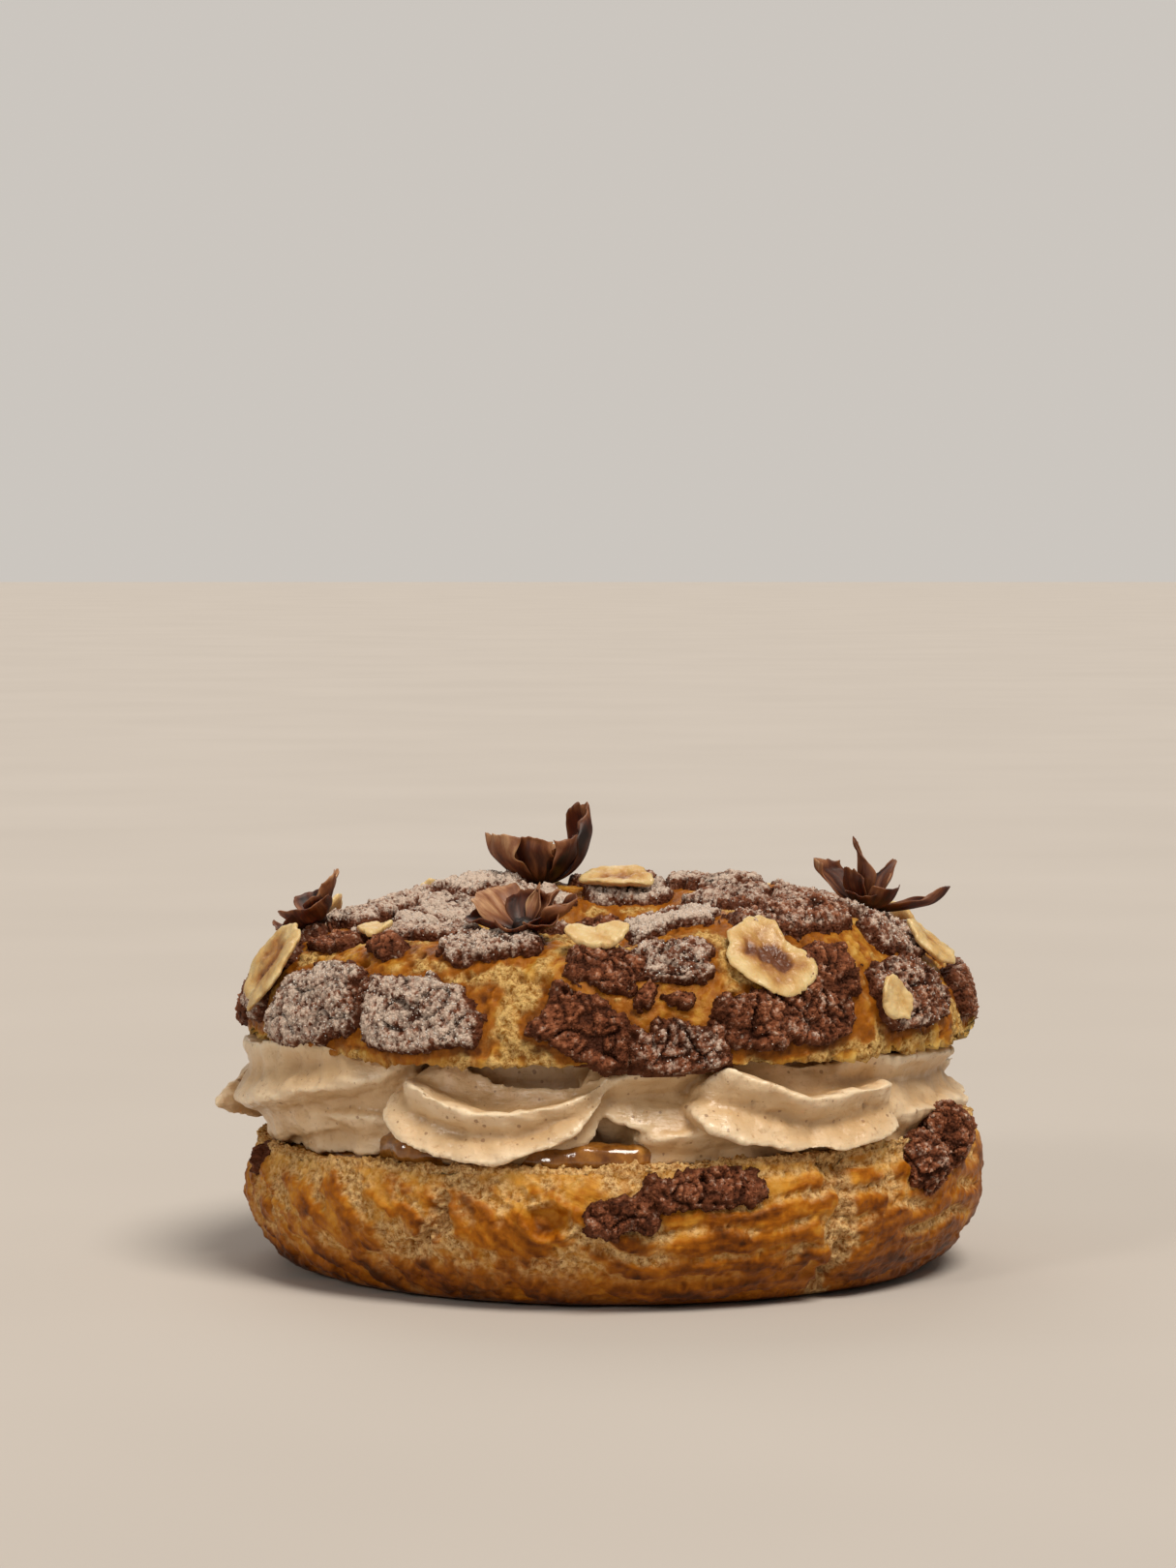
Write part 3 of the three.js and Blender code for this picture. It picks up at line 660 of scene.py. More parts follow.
def base_relief(turn, height, p):
    """How far the outside of the base stands out, with the fields of its finish."""
    arc = np.radians(folded(turn)) * BASE_GIRTH
    ahead = apart(turn, 0)
    line = ridge_lines(turn, height) + bumps(p, (0.3, 9, 1), (0.12, 3, 2), (0.05, 0.9, 16))
    ridge = 0.5 + 0.5 * np.cos(2 * math.pi * line)
    streak = noise(np.column_stack([arc * 0.25, line * 3.4, 0 * arc]), 1.0, 17)
    left = ease(4, -14, ahead) * ease(-125, -100, ahead)
    regular = np.clip(0.5 + 0.75 * noise(p, 11, 3), 0.15, 1) * (1 - 0.6 * left)
    along_ridges = np.column_stack([arc * 0.5, line * 4, 0 * arc])
    blotch = 0.52 + 0.95 * noise(along_ridges, 4.2, 27) + 0.35 * noise(p, 1.9, 28)
    favour = 0.16 * ease(2, 14, ahead) * ease(130, 90, ahead)
    back = regular * ridge + (1 - regular) * blotch + favour + bumps(p, (0.2, 1.6, 18), (0.15, 0.7, 19))
    back = ease(0.2, 0.8, back)
    upper = ease(BASE_HEIGHT - 4.4, BASE_HEIGHT - 1.4, height + 2.2 * noise(p, 4, 20))
    back = back * (1 - 0.6 * upper)
    lower = ease(7, 2.5, height)

    split = np.zeros(len(p))
    ragged = bumps(p, (1.8, 4, 6), (0.8, 1.3, 7))
    for foot_turn, rim_turn, half, depth, low, high in SPLITS:
        middle = foot_turn + (rim_turn - foot_turn) * height / BASE_HEIGHT
        across = np.radians(apart(turn, middle)) * BASE_GIRTH + ragged
        reach = ease(low - 1.5, low + 2, height) * ease(high + 1.5, high - 2, height)
        split = np.maximum(split, depth * reach * ease(half, half * 0.1, np.abs(across)))

    blister = np.zeros(len(p))
    skin_edge = np.zeros(len(p))
    for at, level, wide, tall in BLISTERS:
        x = np.radians(apart(turn, at)) * BASE_GIRTH
        reach = np.sqrt((x / wide) ** 2 + ((height - level) / tall) ** 2) + 0.15 * noise(p, 1.8, 8)
        blister = np.maximum(blister, ease(1.0, 0.55, reach))
        skin_edge = np.maximum(skin_edge, np.exp(-(((reach - 1.1) / 0.16) ** 2)))

    fluff = 0.5 - np.abs(noise(p, 1.3, 9)) - 0.6 * np.abs(noise(p, 0.75, 10))
    pit_near, _, _ = grains(p + 0.4 * noise(p, 1.5, 21)[:, None], 1.5, 22)
    pits = ease(0.34, 0.14, pit_near)
    open_crumb = np.clip(ease(0.15, 0.6, split) + (1 - back) * (0.95 - 0.75 * lower), 0, 1) * (1 - blister)
    relief = (
        0.5 * unevenness(turn, height)
        + 0.75 * (back - 0.5)
        + 0.16 * streak * back
        - split
        - 1.1 * blister
        + 0.55 * skin_edge
        + 0.14 * layered(p, 1.7, 4)
        + open_crumb * (0.5 * fluff - 0.45 * pits)
        - 0.7 * ease(0.35, 0.7, split) * ease(0.1, 0.4, noise(p, 1.9, 30))
        + 0.06 * noise(p, 0.6, 12)
    )
    bake = 0.46 + 0.3 * (back - 0.5) + back * (0.24 * noise(p, 6, 23) + 0.26 * streak)
    # Painted shade in the splits, burst blisters and pits, and painted highlight on the fluff
    bake += 0.3 * ease(8, 1.5, height) + 0.12 * ease(0.8, 1.6, split)
    bake += 0.1 * favour - 0.16 * upper + 0.15 * blister + 0.12 * pits - 0.14 * fluff
    flow = np.column_stack([arc * FLOW_STRETCH, line * 3.4, 0.2 * noise(p, 2, 29)])
    return relief, {"flow": flow, "bake": bake, "crumb": open_crumb * np.clip(0.55 + 0.5 * fluff, 0.1, 1)}


def base_choux(material):
    wall = through(BASE_WALL, 0.26 / FINENESS)
    brim = evenly(BASE_BRIM, 0.4)
    inside = evenly(BASE_INSIDE, 2.2)
    hole = through(BASE_HOLE_WALL, 1.0)
    foot = evenly(BASE_FOOT, 4)
    section = np.vstack([wall, brim[1:], inside[1:], hole[1:], foot[1:-1]])
    skin = RingSkin(section, ring_turns(0.28, 0.56, BASE_GIRTH))
    row = np.tile(np.arange(skin.rows), skin.columns)
    outer = row < len(wall)
    p, turn, height = skin.points, skin.turn, skin.height
    relief = np.zeros(len(p))
    fields = {"bake": np.full(len(p), 0.3), "crumb": np.full(len(p), 0.6), "flow": p.copy()}
    shown, made_fields = base_relief(turn[outer], height[outer], p[outer])
    relief[outer] = shown * ease(0.0, 2.0, height[outer])
    for field, values in made_fields.items():
        fields[field][outer] = values
    hole_wall = (skin.radius < 17.2) & ~outer
    relief += hole_wall * ease(0, 3, height) * (0.3 * layered(p, 2.2, 24))
    fields["bake"] = np.where(hole_wall, 0.5 + 0.2 * noise(p, 3, 25), fields["bake"])
    fields["crumb"] = np.where(hole_wall, 0.2, fields["crumb"])
    points = skin.pushed(relief)
    points[:, 2] += RIM_SLOPE * points[:, 0] * ease(8, BASE_HEIGHT, height)
    rim = np.where((row >= len(wall) - 3) & (row < len(wall) + len(brim) - 1), 1.0, 0.0)
    torn = bumps(p, (0.35, 1.6, 13), (0.3, 0.8, 14), (0.55, 9, 15))
    points[:, 2] += rim * (torn + 0.5 * ease(0.3, 0.7, noise(p, 1.3, 26)))
    fields["rim"] = rim
    fields["crumb"] = np.maximum(fields["crumb"], 0.6 * rim)
    made = mesh_object("base_choux", points, skin.faces, fields)
    return finished(made, "choux", material, "base")


# Lid and its crust

# Crust plates: turn and rise in degrees, half sizes in millimetres, tilt, sugar dusting and roughness.
FRONT_PLATES = [
    (-78, 27, 6, 5.4, 0, 0.7, 0.6),
    (-53.5, 20, 9.2, 5.0, 6, 0.75, 0.5),
    (-31.5, 18.5, 8.4, 4.2, 0, 0.75, 0.5),
    (-66, 60, 6.6, 2.9, 0, 0.15, 0.9),
    (-41.5, 51, 3.0, 1.5, -6, 0.0, 1.0),
    (-42, 77, 8.6, 3.0, 0, 0.5, 0.6),
    (-23, 61, 6.6, 3.9, 6, 0.6, 0.8),
    (-1.2, 46, 5.4, 3.4, 8, 0.1, 1.1),
    (9.4, 50, 4.8, 3.4, -4, 0.5, 0.9),
    (-4.5, 15, 5.8, 3.7, -20, 0.05, 1.1),
    (4.6, 29, 1.9, 1.5, 0, 0.0, 1.0),
    (10.4, 28.5, 1.4, 1.2, 0, 0.0, 1.0),
    (10, 7, 6.4, 2.6, 4, 0.4, 0.9),
    (11.5, 84, 5.8, 3.8, 0, 0.95, 0.7),
    (37, 72, 8.8, 3.4, 0, 0.3, 0.9),
    (37, 38, 3.6, 4.4, 0, 0.05, 1.1),
    (27.5, 19, 9.2, 3.6, 2, 0.2, 1.1),
    (54, 26, 7.0, 4.4, 0, 0.4, 0.8),
    (65, 56, 8.4, 3.2, 0, 0.5, 0.7),
    (80, 19, 4.2, 3.2, 0, 0.2, 0.9),
]
# Rows of plates where the photograph doesn't show them: rise, first and last turn, count and half width.
PLATE_ROWS = [
    (20, 97, 267, 8, 4.6), (53, 92, 272, 9, 3.8), (84, 68, 296, 9, 3.9),
    (112, -86, 238, 11, 3.6), (148, -90, 234, 8, 4),
]
# Bubbles torn open in the choux: turn, rise, half width and half height.
PITS = [
    (-11.5, 34, 1.7, 1.5), (-15, 37.5, 0.9, 0.8), (-7, 30, 0.8, 0.6), (18, 28, 0.9, 0.7), (-24, 38, 1.1, 0.8),
    (-45, 40, 1.2, 0.7), (141, 36, 1.6, 1.3), (224, 30, 1.4, 1.2),
]


def dome(rise):
    """Radius and height of the bare lid at a rise: 0 at the outer edge, 90 at the crest,
    180 at the inner edge."""
    c, s = np.cos(np.radians(rise)), np.sin(np.radians(rise))
    power = 2 / LID_FULLNESS
    return (
        TUBE_RADIUS + LID_HALF_WIDTH * np.sign(c) * np.abs(c) ** power,
        LID_UNDERSIDE + LID_RISE * np.sign(s) * np.abs(s) ** power,
    )


def row_plates():
    """Plates that carry the crust round the back and over into the hole, drawn as on the solids."""
    made = []
    for row, (rise, start, end, count, wide) in enumerate(PLATE_ROWS):
        pitch = (end - start) / (count - 1)
        long = math.radians(pitch) * dome(rise)[0] / 2 - 1.1
        for i in range(count):
            first, second, third = (draw(row * 31 + i * 3 + k) for k in range(3))
            made.append((
                start + pitch * (i + 0.3 * (first - 0.5)),
                rise + 9 * (second - 0.5),
                long * (0.85 + 0.25 * third),
                wide * (0.85 + 0.25 * second),
                24 * (third - 0.5),
                0.9 * first**0.7 if rise > 40 else 0.8 * second,
                0.5 + 0.6 * third,
            ))
    return made


PLATES = FRONT_PLATES + row_plates()


def plate_field(plates, turn, over, radius, points):
    """Distance from the crust's ragged edge, negative on it, with the nearest plate's dusting and roughness.

    Plates and points are given by turn in degrees and by millimetres over the surface."""
    calm = 0.25 + 0.75 * ease(0.3, 3.5, over)
    ragged_along, ragged_over = (
        bumps(points, (1.3, 3.6, seed), (0.7, 1.4, seed + 1), (0.35, 0.7, seed + 2)) for seed in (21, 24)
    )
    nearest = np.full(len(points), 50.0)
    second = nearest.copy()
    sugar = np.zeros(len(points))
    roughness = np.ones(len(points))
    for at, up, long, wide, tilt, dusting, rough in plates:
        along = np.radians(apart(turn, at)) * radius + ragged_along
        across = over - up + calm * ragged_over
        lean = math.radians(tilt)
        x = along * math.cos(lean) + across * math.sin(lean)
        y = across * math.cos(lean) - along * math.sin(lean)
        reach = np.abs(x / long) ** PLATE_SQUARENESS + np.abs(y / wide) ** PLATE_SQUARENESS
        reach = reach ** (1 / PLATE_SQUARENESS)
        distance = (reach - 1) * min(long, wide)
        closer = distance < nearest
        second = np.minimum(second, np.maximum(nearest, distance))
        nearest = np.minimum(nearest, distance)
        sugar = np.where(closer, dusting, sugar)
        roughness = np.where(closer, rough, roughness)
    parted = np.maximum(nearest, -0.06 - 0.6 * (second - nearest))
    return parted, sugar, roughness


def over_dome(rise):
    return np.radians(rise) * LID_RISE


LID_PLATES = [(at, over_dome(rise), *rest) for at, rise, *rest in PLATES]


def lid_relief(turn, rise, height, points):
    """How far the choux under the crust stands out of the dome, and how deep its bubbles are torn open."""
    relief = 0.5 * unevenness(turn, height) + 0.45 * noise(points, 6, 31) + 0.2 * layered(points, 2.0, 32)
    side = np.abs(np.sin(np.radians(turn)))
    relief -= LID_SAG * ease(0.62, 0.98, side) * ease(8, 60, rise) * ease(178, 130, rise)
    ahead = apart(turn, 0)
    relief -= 1.3 * ease(58, 80, ahead) * ease(125, 100, ahead) * ease(70, 30, rise)
    crown = ease(45, 78, rise) * ease(160, 130, rise)
    fuller = ease(10, 24, ahead) * ease(75, 55, ahead)
    lower = ease(-95, -60, ahead) * ease(14, -4, ahead)
    relief += crown * (fuller - 1.9 * lower)
    pits = np.zeros(len(points))
    for at, up, wide, tall in PITS:
        x = np.radians(apart(turn, at)) * PIT_GIRTH
        y = over_dome(rise - up)
        reach = np.sqrt((x / wide) ** 2 + (y / tall) ** 2) + 0.25 * noise(points, 1.0, 33)
        pits = np.maximum(pits, ease(1.1, 0.5, reach))
    return relief - 1.3 * pits, pits


def lid_choux(material):
    outside, inside = np.linspace(0, 100, int(96 * FINENESS)), np.linspace(102, 180, int(30 * FINENESS))
    over = np.concatenate([outside, inside])
    top = np.stack(dome(over), axis=1)
    under = evenly([(LID_INNER, LID_UNDERSIDE), (LID_OUTER, LID_UNDERSIDE)], 2.2)
    skin = RingSkin(np.vstack([top, under[1:-1]]), ring_turns(0.3, 0.6, LID_GIRTH))
    rise = np.tile(np.concatenate([over, np.full(len(under) - 2, -20.0)]), skin.columns)
    p, ahead = skin.points, apart(skin.turn, 0)
    bare = rise >= 0
    distance, _, _ = plate_field(LID_PLATES, skin.turn, over_dome(rise), skin.radius, p)
    relief, pits = lid_relief(skin.turn, rise, skin.height, p)
    fluff = 0.55 - np.abs(noise(p, 1.6, 34)) - 0.7 * np.abs(noise(p, 0.8, 35))
    pore_near, _, _ = grains(p + 0.4 * noise(p, 1.5, 40)[:, None], 1.7, 41)
    pores = ease(0.36, 0.14, pore_near)
    relief += ease(0.0, 1.5, distance) * (0.6 * fluff - 0.5 * pores) + 0.06 * noise(p, 0.6, 42)
    points = skin.pushed(np.where(bare, relief, 0))
    hem = np.where(bare, ease(4, 0, np.minimum(rise, 180 - rise)), 1.0)
    points[:, 2] += hem * bumps(p, (0.5, 5, 36), (0.4, 1.3, 37), (0.2, 0.7, 43))
    bake = 0.34 + 0.34 * ease(2.6, 0.1, distance + 0.8 * noise(p, 2.2, 44)) + 0.22 * noise(p, 4.5, 38)
    # Painted shade in the pores and torn bubbles, and painted highlight on the fluff
    bake += 0.16 * ease(18, 5, rise) - 0.3 * ease(3.5, 0, rise) - 0.2 * fluff + 0.25 * pores
    bake -= 0.14 * ease(25, 45, ahead) * ease(100, 75, ahead) * ease(32, 48, rise)
    bake = np.where(bare, bake + 0.1 * pits, 0.12)
    opened = noise(p, 3.2, 39) + 0.25 * ease(-65, -45, ahead) * ease(40, 20, ahead)
    crumbed = np.clip(ease(-0.25, 0.3, opened) * ease(0.3, 1.5, distance) * (0.7 + 0.6 * fluff), 0, 1)
    fields = {"bake": bake, "crumb": np.where(bare, crumbed, 0.7), "flow": p}
    return finished(mesh_object("lid_choux", points, skin.faces, fields), "choux", material, "lid")


def crust_relief(distance, roughness, points):
    """Height of the crust over the choux, how light its grains are, with painted shade between them,
    and painted shade in its cracks, seams and along its edges: sandy clumps with steep broken edges."""
    bent = points + np.stack([0.7 * noise(points, 1.7, 45 + k) for k in range(3)], axis=1)
    near, gap, clod = grains(bent, 2.4, 41)
    fine, _, grit = grains(0.6 * points + 0.4 * bent, 0.8, 42)
    sand, _, speck = grains(points, 0.48, 48)
    inside = -distance
    step = np.clip(inside / 0.6, 0, 1) ** 0.5
    fissure = ease(0.07, 0.0, np.abs(noise(points, 5, 43))) * ease(0.5, 1.4, inside)
    seam = ease(0.16, 0.0, gap) * ease(0.3, 1.0, inside) * roughness
    clump = 0.55 - near
    body = CRUST_THICKNESS * (0.8 + 0.35 * noise(points, 6.5, 44))
    crumbly = roughness * (0.34 * clump + 0.3 * (clod - 0.5))
    crumbly += 0.3 * (0.5 - sand) + 0.25 * (speck - 0.5)
    crumbly += (0.1 + 0.6 * roughness) * (0.36 * (0.5 - fine) + 0.36 * (grit - 0.5))
    height = step * body + np.clip(inside / 0.35, 0, 1) * crumbly - 0.3 * seam - 1.0 * fissure
    height = np.where(inside > 0.8, np.maximum(height, 0.6), height)
    height = np.where(inside > 0, height, -0.5 * ease(0, 0.5, distance) - 0.12)
    # How light the grains are: a tone drawn for each, with painted shade between grains and in seams and fissures
    grain = 0.46 + 0.2 * clump * roughness + 0.4 * (0.45 - fine) + 0.35 * (0.45 - sand)
    grain += 0.3 * (grit - 0.5) + 0.4 * (speck - 0.5) - 0.25 * seam - 0.6 * fissure
    grain = np.clip(grain, 0, 1)
    # Painted shade: darker in the fissures and seams and towards the crust's broken edge
    seared = np.clip(ease(0.7, 0.0, inside) * 0.75 + 0.6 * fissure + 0.4 * seam, 0, 1)
    return height, grain, seared


def crust_slab(name, shape, points, normal, under, field):
    """Closed crumbly slabs over a grid of points, their edges and backs sunk into the choux."""
    distance, sugar, roughness = field
    crust, grain, seared = crust_relief(distance, roughness, points)
    faces = grid_faces(*shape, False, False)
    faces = faces[(distance[faces] < 0.35).any(axis=1)]
    used, renumbered = np.unique(faces, return_inverse=True)
    front = (points + normal * (under + crust)[:, None])[used]
    back = (points + normal * (under - CRUST_SUNK)[:, None])[used]
    sugar = sugar * ease(-0.1, 0.7, -distance) * (0.8 + 0.25 * ease(0.3, 0.8, normal[:, 2]))
    crumbly = np.clip(1.1 - sugar, 0, 1) * ease(-0.1, 0.1, -distance)
    bare = np.zeros(len(used))
    fields = {
        "grain": np.tile(grain[used], 2),
        "seared": np.tile(seared[used], 2),
        "sugar": np.concatenate([sugar[used], bare]),
        "crumbly": np.concatenate([crumbly[used], bare]),
    }
    shell = shell_faces(renumbered.reshape(faces.shape), len(used))
    return mesh_object(name, np.vstack([front, back]), shell, fields)


def ring_points(turn, radius, height, across):
    """Points at turns, radii and heights, with normals square to the section's direction there."""
    across = across / np.linalg.norm(across, axis=1)[:, None]
    spin = outward(turn)
    points = np.column_stack([spin * radius[:, None], height])
    return points, np.column_stack([spin * across[:, 1:2], -across[:, 0]])


def lid_surface(turn, rise):
    """Points and normals of the bare lid, the relief of its choux there and the field of its plates."""
    radius, height = dome(rise)
    across = np.stack(dome(rise + 0.5), axis=1) - np.stack(dome(rise - 0.5), axis=1)
    points, normal = ring_points(turn, radius, height, across)
    relief, _ = lid_relief(turn, rise, height, points)
    return points, normal, relief, plate_field(LID_PLATES, turn, over_dome(rise), radius, points)


def lid_slab(name, turns, rises):
    return crust_slab(name, (len(turns), len(rises)), *lid_surface(*flat_grid(turns, rises)))


def base_slab(name, turns, heights):
    turn, height = flat_grid(turns, heights)
    radii, levels = through(BASE_WALL, 0.2).T
    radius = np.interp(height, levels, radii)
    slope = np.interp(height + 0.3, levels, radii) - np.interp(height - 0.3, levels, radii)
    points, normal = ring_points(turn, radius, height, np.stack([slope, np.full(len(slope), 0.6)], axis=1))
    relief, _ = base_relief(turn, height, points)
    field = plate_field([(*lump, 0.1, 1.1) for lump in BASE_LUMPS], turn, height, radius, points)
    return crust_slab(name, (len(turns), len(heights)), points, normal, relief, field)


def rim_lump(name, values):
    """A rounded crumbly ball of crust, half sunk in the choux."""
    turn, height, radius, size = values
    out, faces = ball_grid(int(110 * FINENESS), int(64 * FINENESS), 1.5)
    middle = np.array([*radius * outward(turn), height])
    points = middle + out * size * (0.9 + 0.12 * noise(out * size + middle, 3.4, 49))[:, None]
    crust, grain, seared = crust_relief(np.full(len(points), -3.0), np.full(len(points), 1.1), points)
    points = points + out * (crust - CRUST_THICKNESS)[:, None] * 0.8
    fields = {"grain": grain, "seared": seared}
    fields |= {"sugar": np.full(len(points), 0.15), "crumbly": np.ones(len(points))}
    return filled(mesh_object(name, points, faces, fields))


def crust_slabs(material):
    fine, coarse, hidden = 0.21 / FINENESS, 0.4 / FINENESS, 0.55 / FINENESS
    lower, inner = -4.0, 178.0

    def steps(start, end, scale, step):
        return np.linspace(start, end, int((end - start) * scale / step))

    girth, rise = math.radians(CRUST_GIRTH), math.radians(CRUST_RISE)
    left, right = steps(-SIDE_SEAM, 0, girth, fine), steps(0, SIDE_SEAM, girth, fine)
    rear = steps(SIDE_SEAM, 360 - SIDE_SEAM, girth, coarse)
    outside, inside = steps(lower, LID_CREST, rise, fine), steps(LID_CREST, inner, rise, hidden)
    made = [
        lid_slab("crust_front_left", left, outside),
        lid_slab("crust_front_right", right, outside),
        lid_slab("crust_back", rear, outside),
        lid_slab("crust_hole", np.concatenate([left, right[1:], rear[1:]]), inside),
        joined("crust_on_base", [
            base_slab("crust_run", steps(-100, 220, girth, fine), steps(8.5, BASE_HEIGHT - 0.2, 1, fine)),
            *(rim_lump(f"crust_ball_{i}", values) for i, values in enumerate(RIM_LUMPS)),
        ]),
    ]
    for slab in made:
        finished(slab, "crust", material)
    return made


# Cream

# Piped strands: from and to in degrees, then middle radius, height, thickness and roll at the start,
# halfway and at the end, the shares of the length over which the head and the tail close, and the depth
# of the grooves.
OUTER_STRANDS = [
    (-98, -34, 36.8, 41.2, 39.0, 23.6, 24.2, 29.6, 8.4, 7.0, 5.6, -12, -14, -12, 0.16, 0.22, 0.30),
    (-36.5, 1, 40.4, 41.2, 42.6, 26.2, 20.5, 27.6, 6.2, 5.9, 1.4, 4, 0, 6, 0.15, 0.36, 0.47),
    (-6, 19, 41.6, 36.9, 36.0, 25.2, 25.4, 25.0, 4.2, 7.8, 7.2, 12, 0, -10, 0.30, 0.20, 0.44),
    (12, 49, 39.6, 40.8, 40.8, 25.2, 22.0, 23.6, 8.4, 6.8, 5.6, -10, 0, 4, 0.14, 0.10, 0.47),
    (37, 94, 37.8, 37.6, 34.8, 25.8, 25.2, 25.2, 7.2, 6.7, 5.4, 0, 4, 14, 0.12, 0.30, 0.42),
    (86, 127, 35.6, 38.6, 41.2, 24.0, 20.8, 24.4, 6.2, 6.0, 3.0, 4, 0, 8, 0.14, 0.36, 0.47),
    (120, 166, 39.6, 40.4, 41.6, 24.6, 21.4, 24.6, 7.0, 6.4, 3.0, -4, 2, 10, 0.14, 0.36, 0.44),
    (160, 205, 40.0, 40.8, 41.8, 24.0, 20.6, 24.8, 6.8, 6.2, 3.0, 4, 0, 6, 0.14, 0.36, 0.47),
    (198, 244, 39.6, 40.4, 41.6, 24.6, 21.6, 24.6, 7.0, 6.6, 3.2, -6, 2, 10, 0.14, 0.36, 0.44),
    (236, 274, 39.6, 39.6, 49.4, 24.8, 23.2, 19.6, 6.8, 5.2, 1.5, 4, 0, 4, 0.14, 0.30, 0.28),
]
# Cream that shows in the shade between and below the strands
BACK_STRANDS = [
    (-96, -38, 38.2, 38.9, 39.0, 20.4, 20.0, 20.6, 5.0, 5.0, 4.6, 20, 20, 20, 0.2, 0.12, 0.3),
    (3, 26, 38.8, 39.8, 38.8, 19.8, 19.8, 19.8, 4.4, 4.8, 4.4, 20, 20, 20, 0.2, 0.2, 0.3),
    (38, 96, 38.6, 39.2, 37.8, 20.4, 20.4, 20.4, 5.2, 5.4, 5.2, 20, 20, 20, 0.12, 0.12, 0.3),
    (95, 160, 38.4, 39.0, 38.4, 20.4, 20.0, 20.4, 5.0, 5.2, 5.0, 20, 20, 20, 0.12, 0.12, 0.3),
    (172, 262, 38.4, 39.0, 38.4, 20.4, 20.0, 20.4, 5.0, 5.2, 5.0, 20, 20, 20, 0.12, 0.12, 0.3),
]
# Strands on the side of the hole, all alike; their turns are counted from their own places.
INNER_STRANDS = 7
INNER_LAP = 6
INNER_STRAND = (22.8, 21.4, 22.6, 24.0, 22.6, 23.8, 5.8, 5.6, 4.0, 4, 0, -16, 0.2, 0.4, 0.45)
STRAND_PLACES = ("Start", "Middle", "End")
STRAND_INPUTS = [
    "From", "To",
    *(f"{place} {size}" for size in ("radius", "level", "thickness", "roll") for place in STRAND_PLACES),
    "Head", "Tail", "Groove",
]
FLANGES = 6
FLANGE_SHARPNESS = 1.05
# The plain ring of cream inside the strands, as radius and height
CREAM_CORE = [(21, 17.3), (38.2, 17.3), (38.2, 28.9), (21, 28.9), (21, 17.3)]
CREAM_VOXEL = 0.37
CREAM_KEPT = 0.56
CREAM_GIRTH = 40


def geometry_board(name, inputs):
    """A board on a new geometry node tree that gives one geometry, and the sockets of its named inputs."""
    tree = bpy.data.node_groups.new(name, "GeometryNodeTree")
    for socket, kind in inputs.items():
        tree.interface.new_socket(socket, in_out="INPUT", socket_type="NodeSocket" + kind)
    tree.interface.new_socket("Geometry", in_out="OUTPUT", socket_type="NodeSocketGeometry")
    board = NodeBoard(tree)
    return board, board.add("NodeGroupInput").outputs


def handed_out(board, geometry, material):
    """Ends a geometry node tree with real meshes of one material."""
    mesh = board.add("GeometryNodeRealizeInstances", {"Geometry": geometry}).outputs[0]
    mesh = board.add("GeometryNodeSetMaterial", {"Geometry": mesh, "Material": material}).outputs[0]
    board.add("NodeGroupOutput", {"Geometry": mesh})
    return board.tree


def strand_tree():
    """Geometry nodes for one piped strand: a star section swept along an arc, its sizes set
    at three places."""
    inputs = dict.fromkeys(STRAND_INPUTS, "Float") | {"Material": "Material"}
    board, given = geometry_board("piped_strand", inputs)
    lengthwise = board.add("GeometryNodeSplineParameter").outputs["Factor"]
    rest = board.minus(1.0, lengthwise)
    doubled = board.times(lengthwise, 2.0)
    weights = (
        board.times(rest, board.minus(1.0, doubled)),
        board.times(board.times(lengthwise, rest), 4.0),
        board.times(lengthwise, board.minus(doubled, 1.0)),
    )

    def course(quantity):
        """A quantity that passes through its three given values."""
        total = 0.0
        for place, weight in zip(STRAND_PLACES, weights):
            total = board.plus(given[place + " " + quantity], weight, total)
        return total

    turn = board.math("RADIANS", board.between(given["From"], given["To"], lengthwise))
    radius = course("radius")
    east = board.times(radius, board.math("SINE", turn))
    south = board.times(radius, board.times(board.math("COSINE", turn), -1.0))
    place = board.add("ShaderNodeCombineXYZ", {"X": east, "Y": south, "Z": course("level")}).outputs[0]

    line = board.add("GeometryNodeCurvePrimitiveLine", {"End": (1.0, 0.0, 0.0)}).outputs[0]
    line = board.add("GeometryNodeResampleCurve", {"Curve": line, "Count": 120}).outputs[0]
    line = board.add("GeometryNodeSetPosition", {"Geometry": line, "Position": place}).outputs[0]
    line = board.add("GeometryNodeSetCurveNormal", {"Curve": line}, mode="Z_UP").outputs[0]
    roll = board.math("RADIANS", course("roll"))
    line = board.add("GeometryNodeSetCurveTilt", {"Curve": line, "Tilt": roll}).outputs[0]

    def rounding(share):
        short = board.minus(1.0, board.math("MINIMUM", share, 1.0))
        return board.math("SQRT", board.minus(1.0002, board.math("POWER", short, 2.0)))

    head = rounding(board.math("DIVIDE", lengthwise, given["Head"]))
    tail = rounding(board.math("DIVIDE", rest, given["Tail"]))
    thickness = board.times(course("thickness"), board.times(head, tail))

    angle = board.plus(lengthwise, 2 * math.pi, -math.pi / FLANGES)
    wave = board.math("ABSOLUTE", board.math("SINE", board.times(angle, FLANGES / 2)))
    spread = board.minus(1.0, board.times(board.math("POWER", wave, FLANGE_SHARPNESS), given["Groove"]))
    star = board.add("GeometryNodeCurvePrimitiveCircle", {"Resolution": 96, "Radius": 1.0}).outputs[0]
    scaled = board.add("ShaderNodeVectorMath", {"Scale": spread}, operation="SCALE")
    board.feed(scaled.inputs[0], board.add("GeometryNodeInputPosition").outputs[0])
    star = board.add("GeometryNodeSetPosition", {"Geometry": star, "Position": scaled.outputs[0]}).outputs[0]

    swept = {"Curve": line, "Profile Curve": star, "Scale": thickness, "Fill Caps": True}
    mesh = board.add("GeometryNodeCurveToMesh", swept).outputs[0]
    return handed_out(board, mesh, given["Material"])


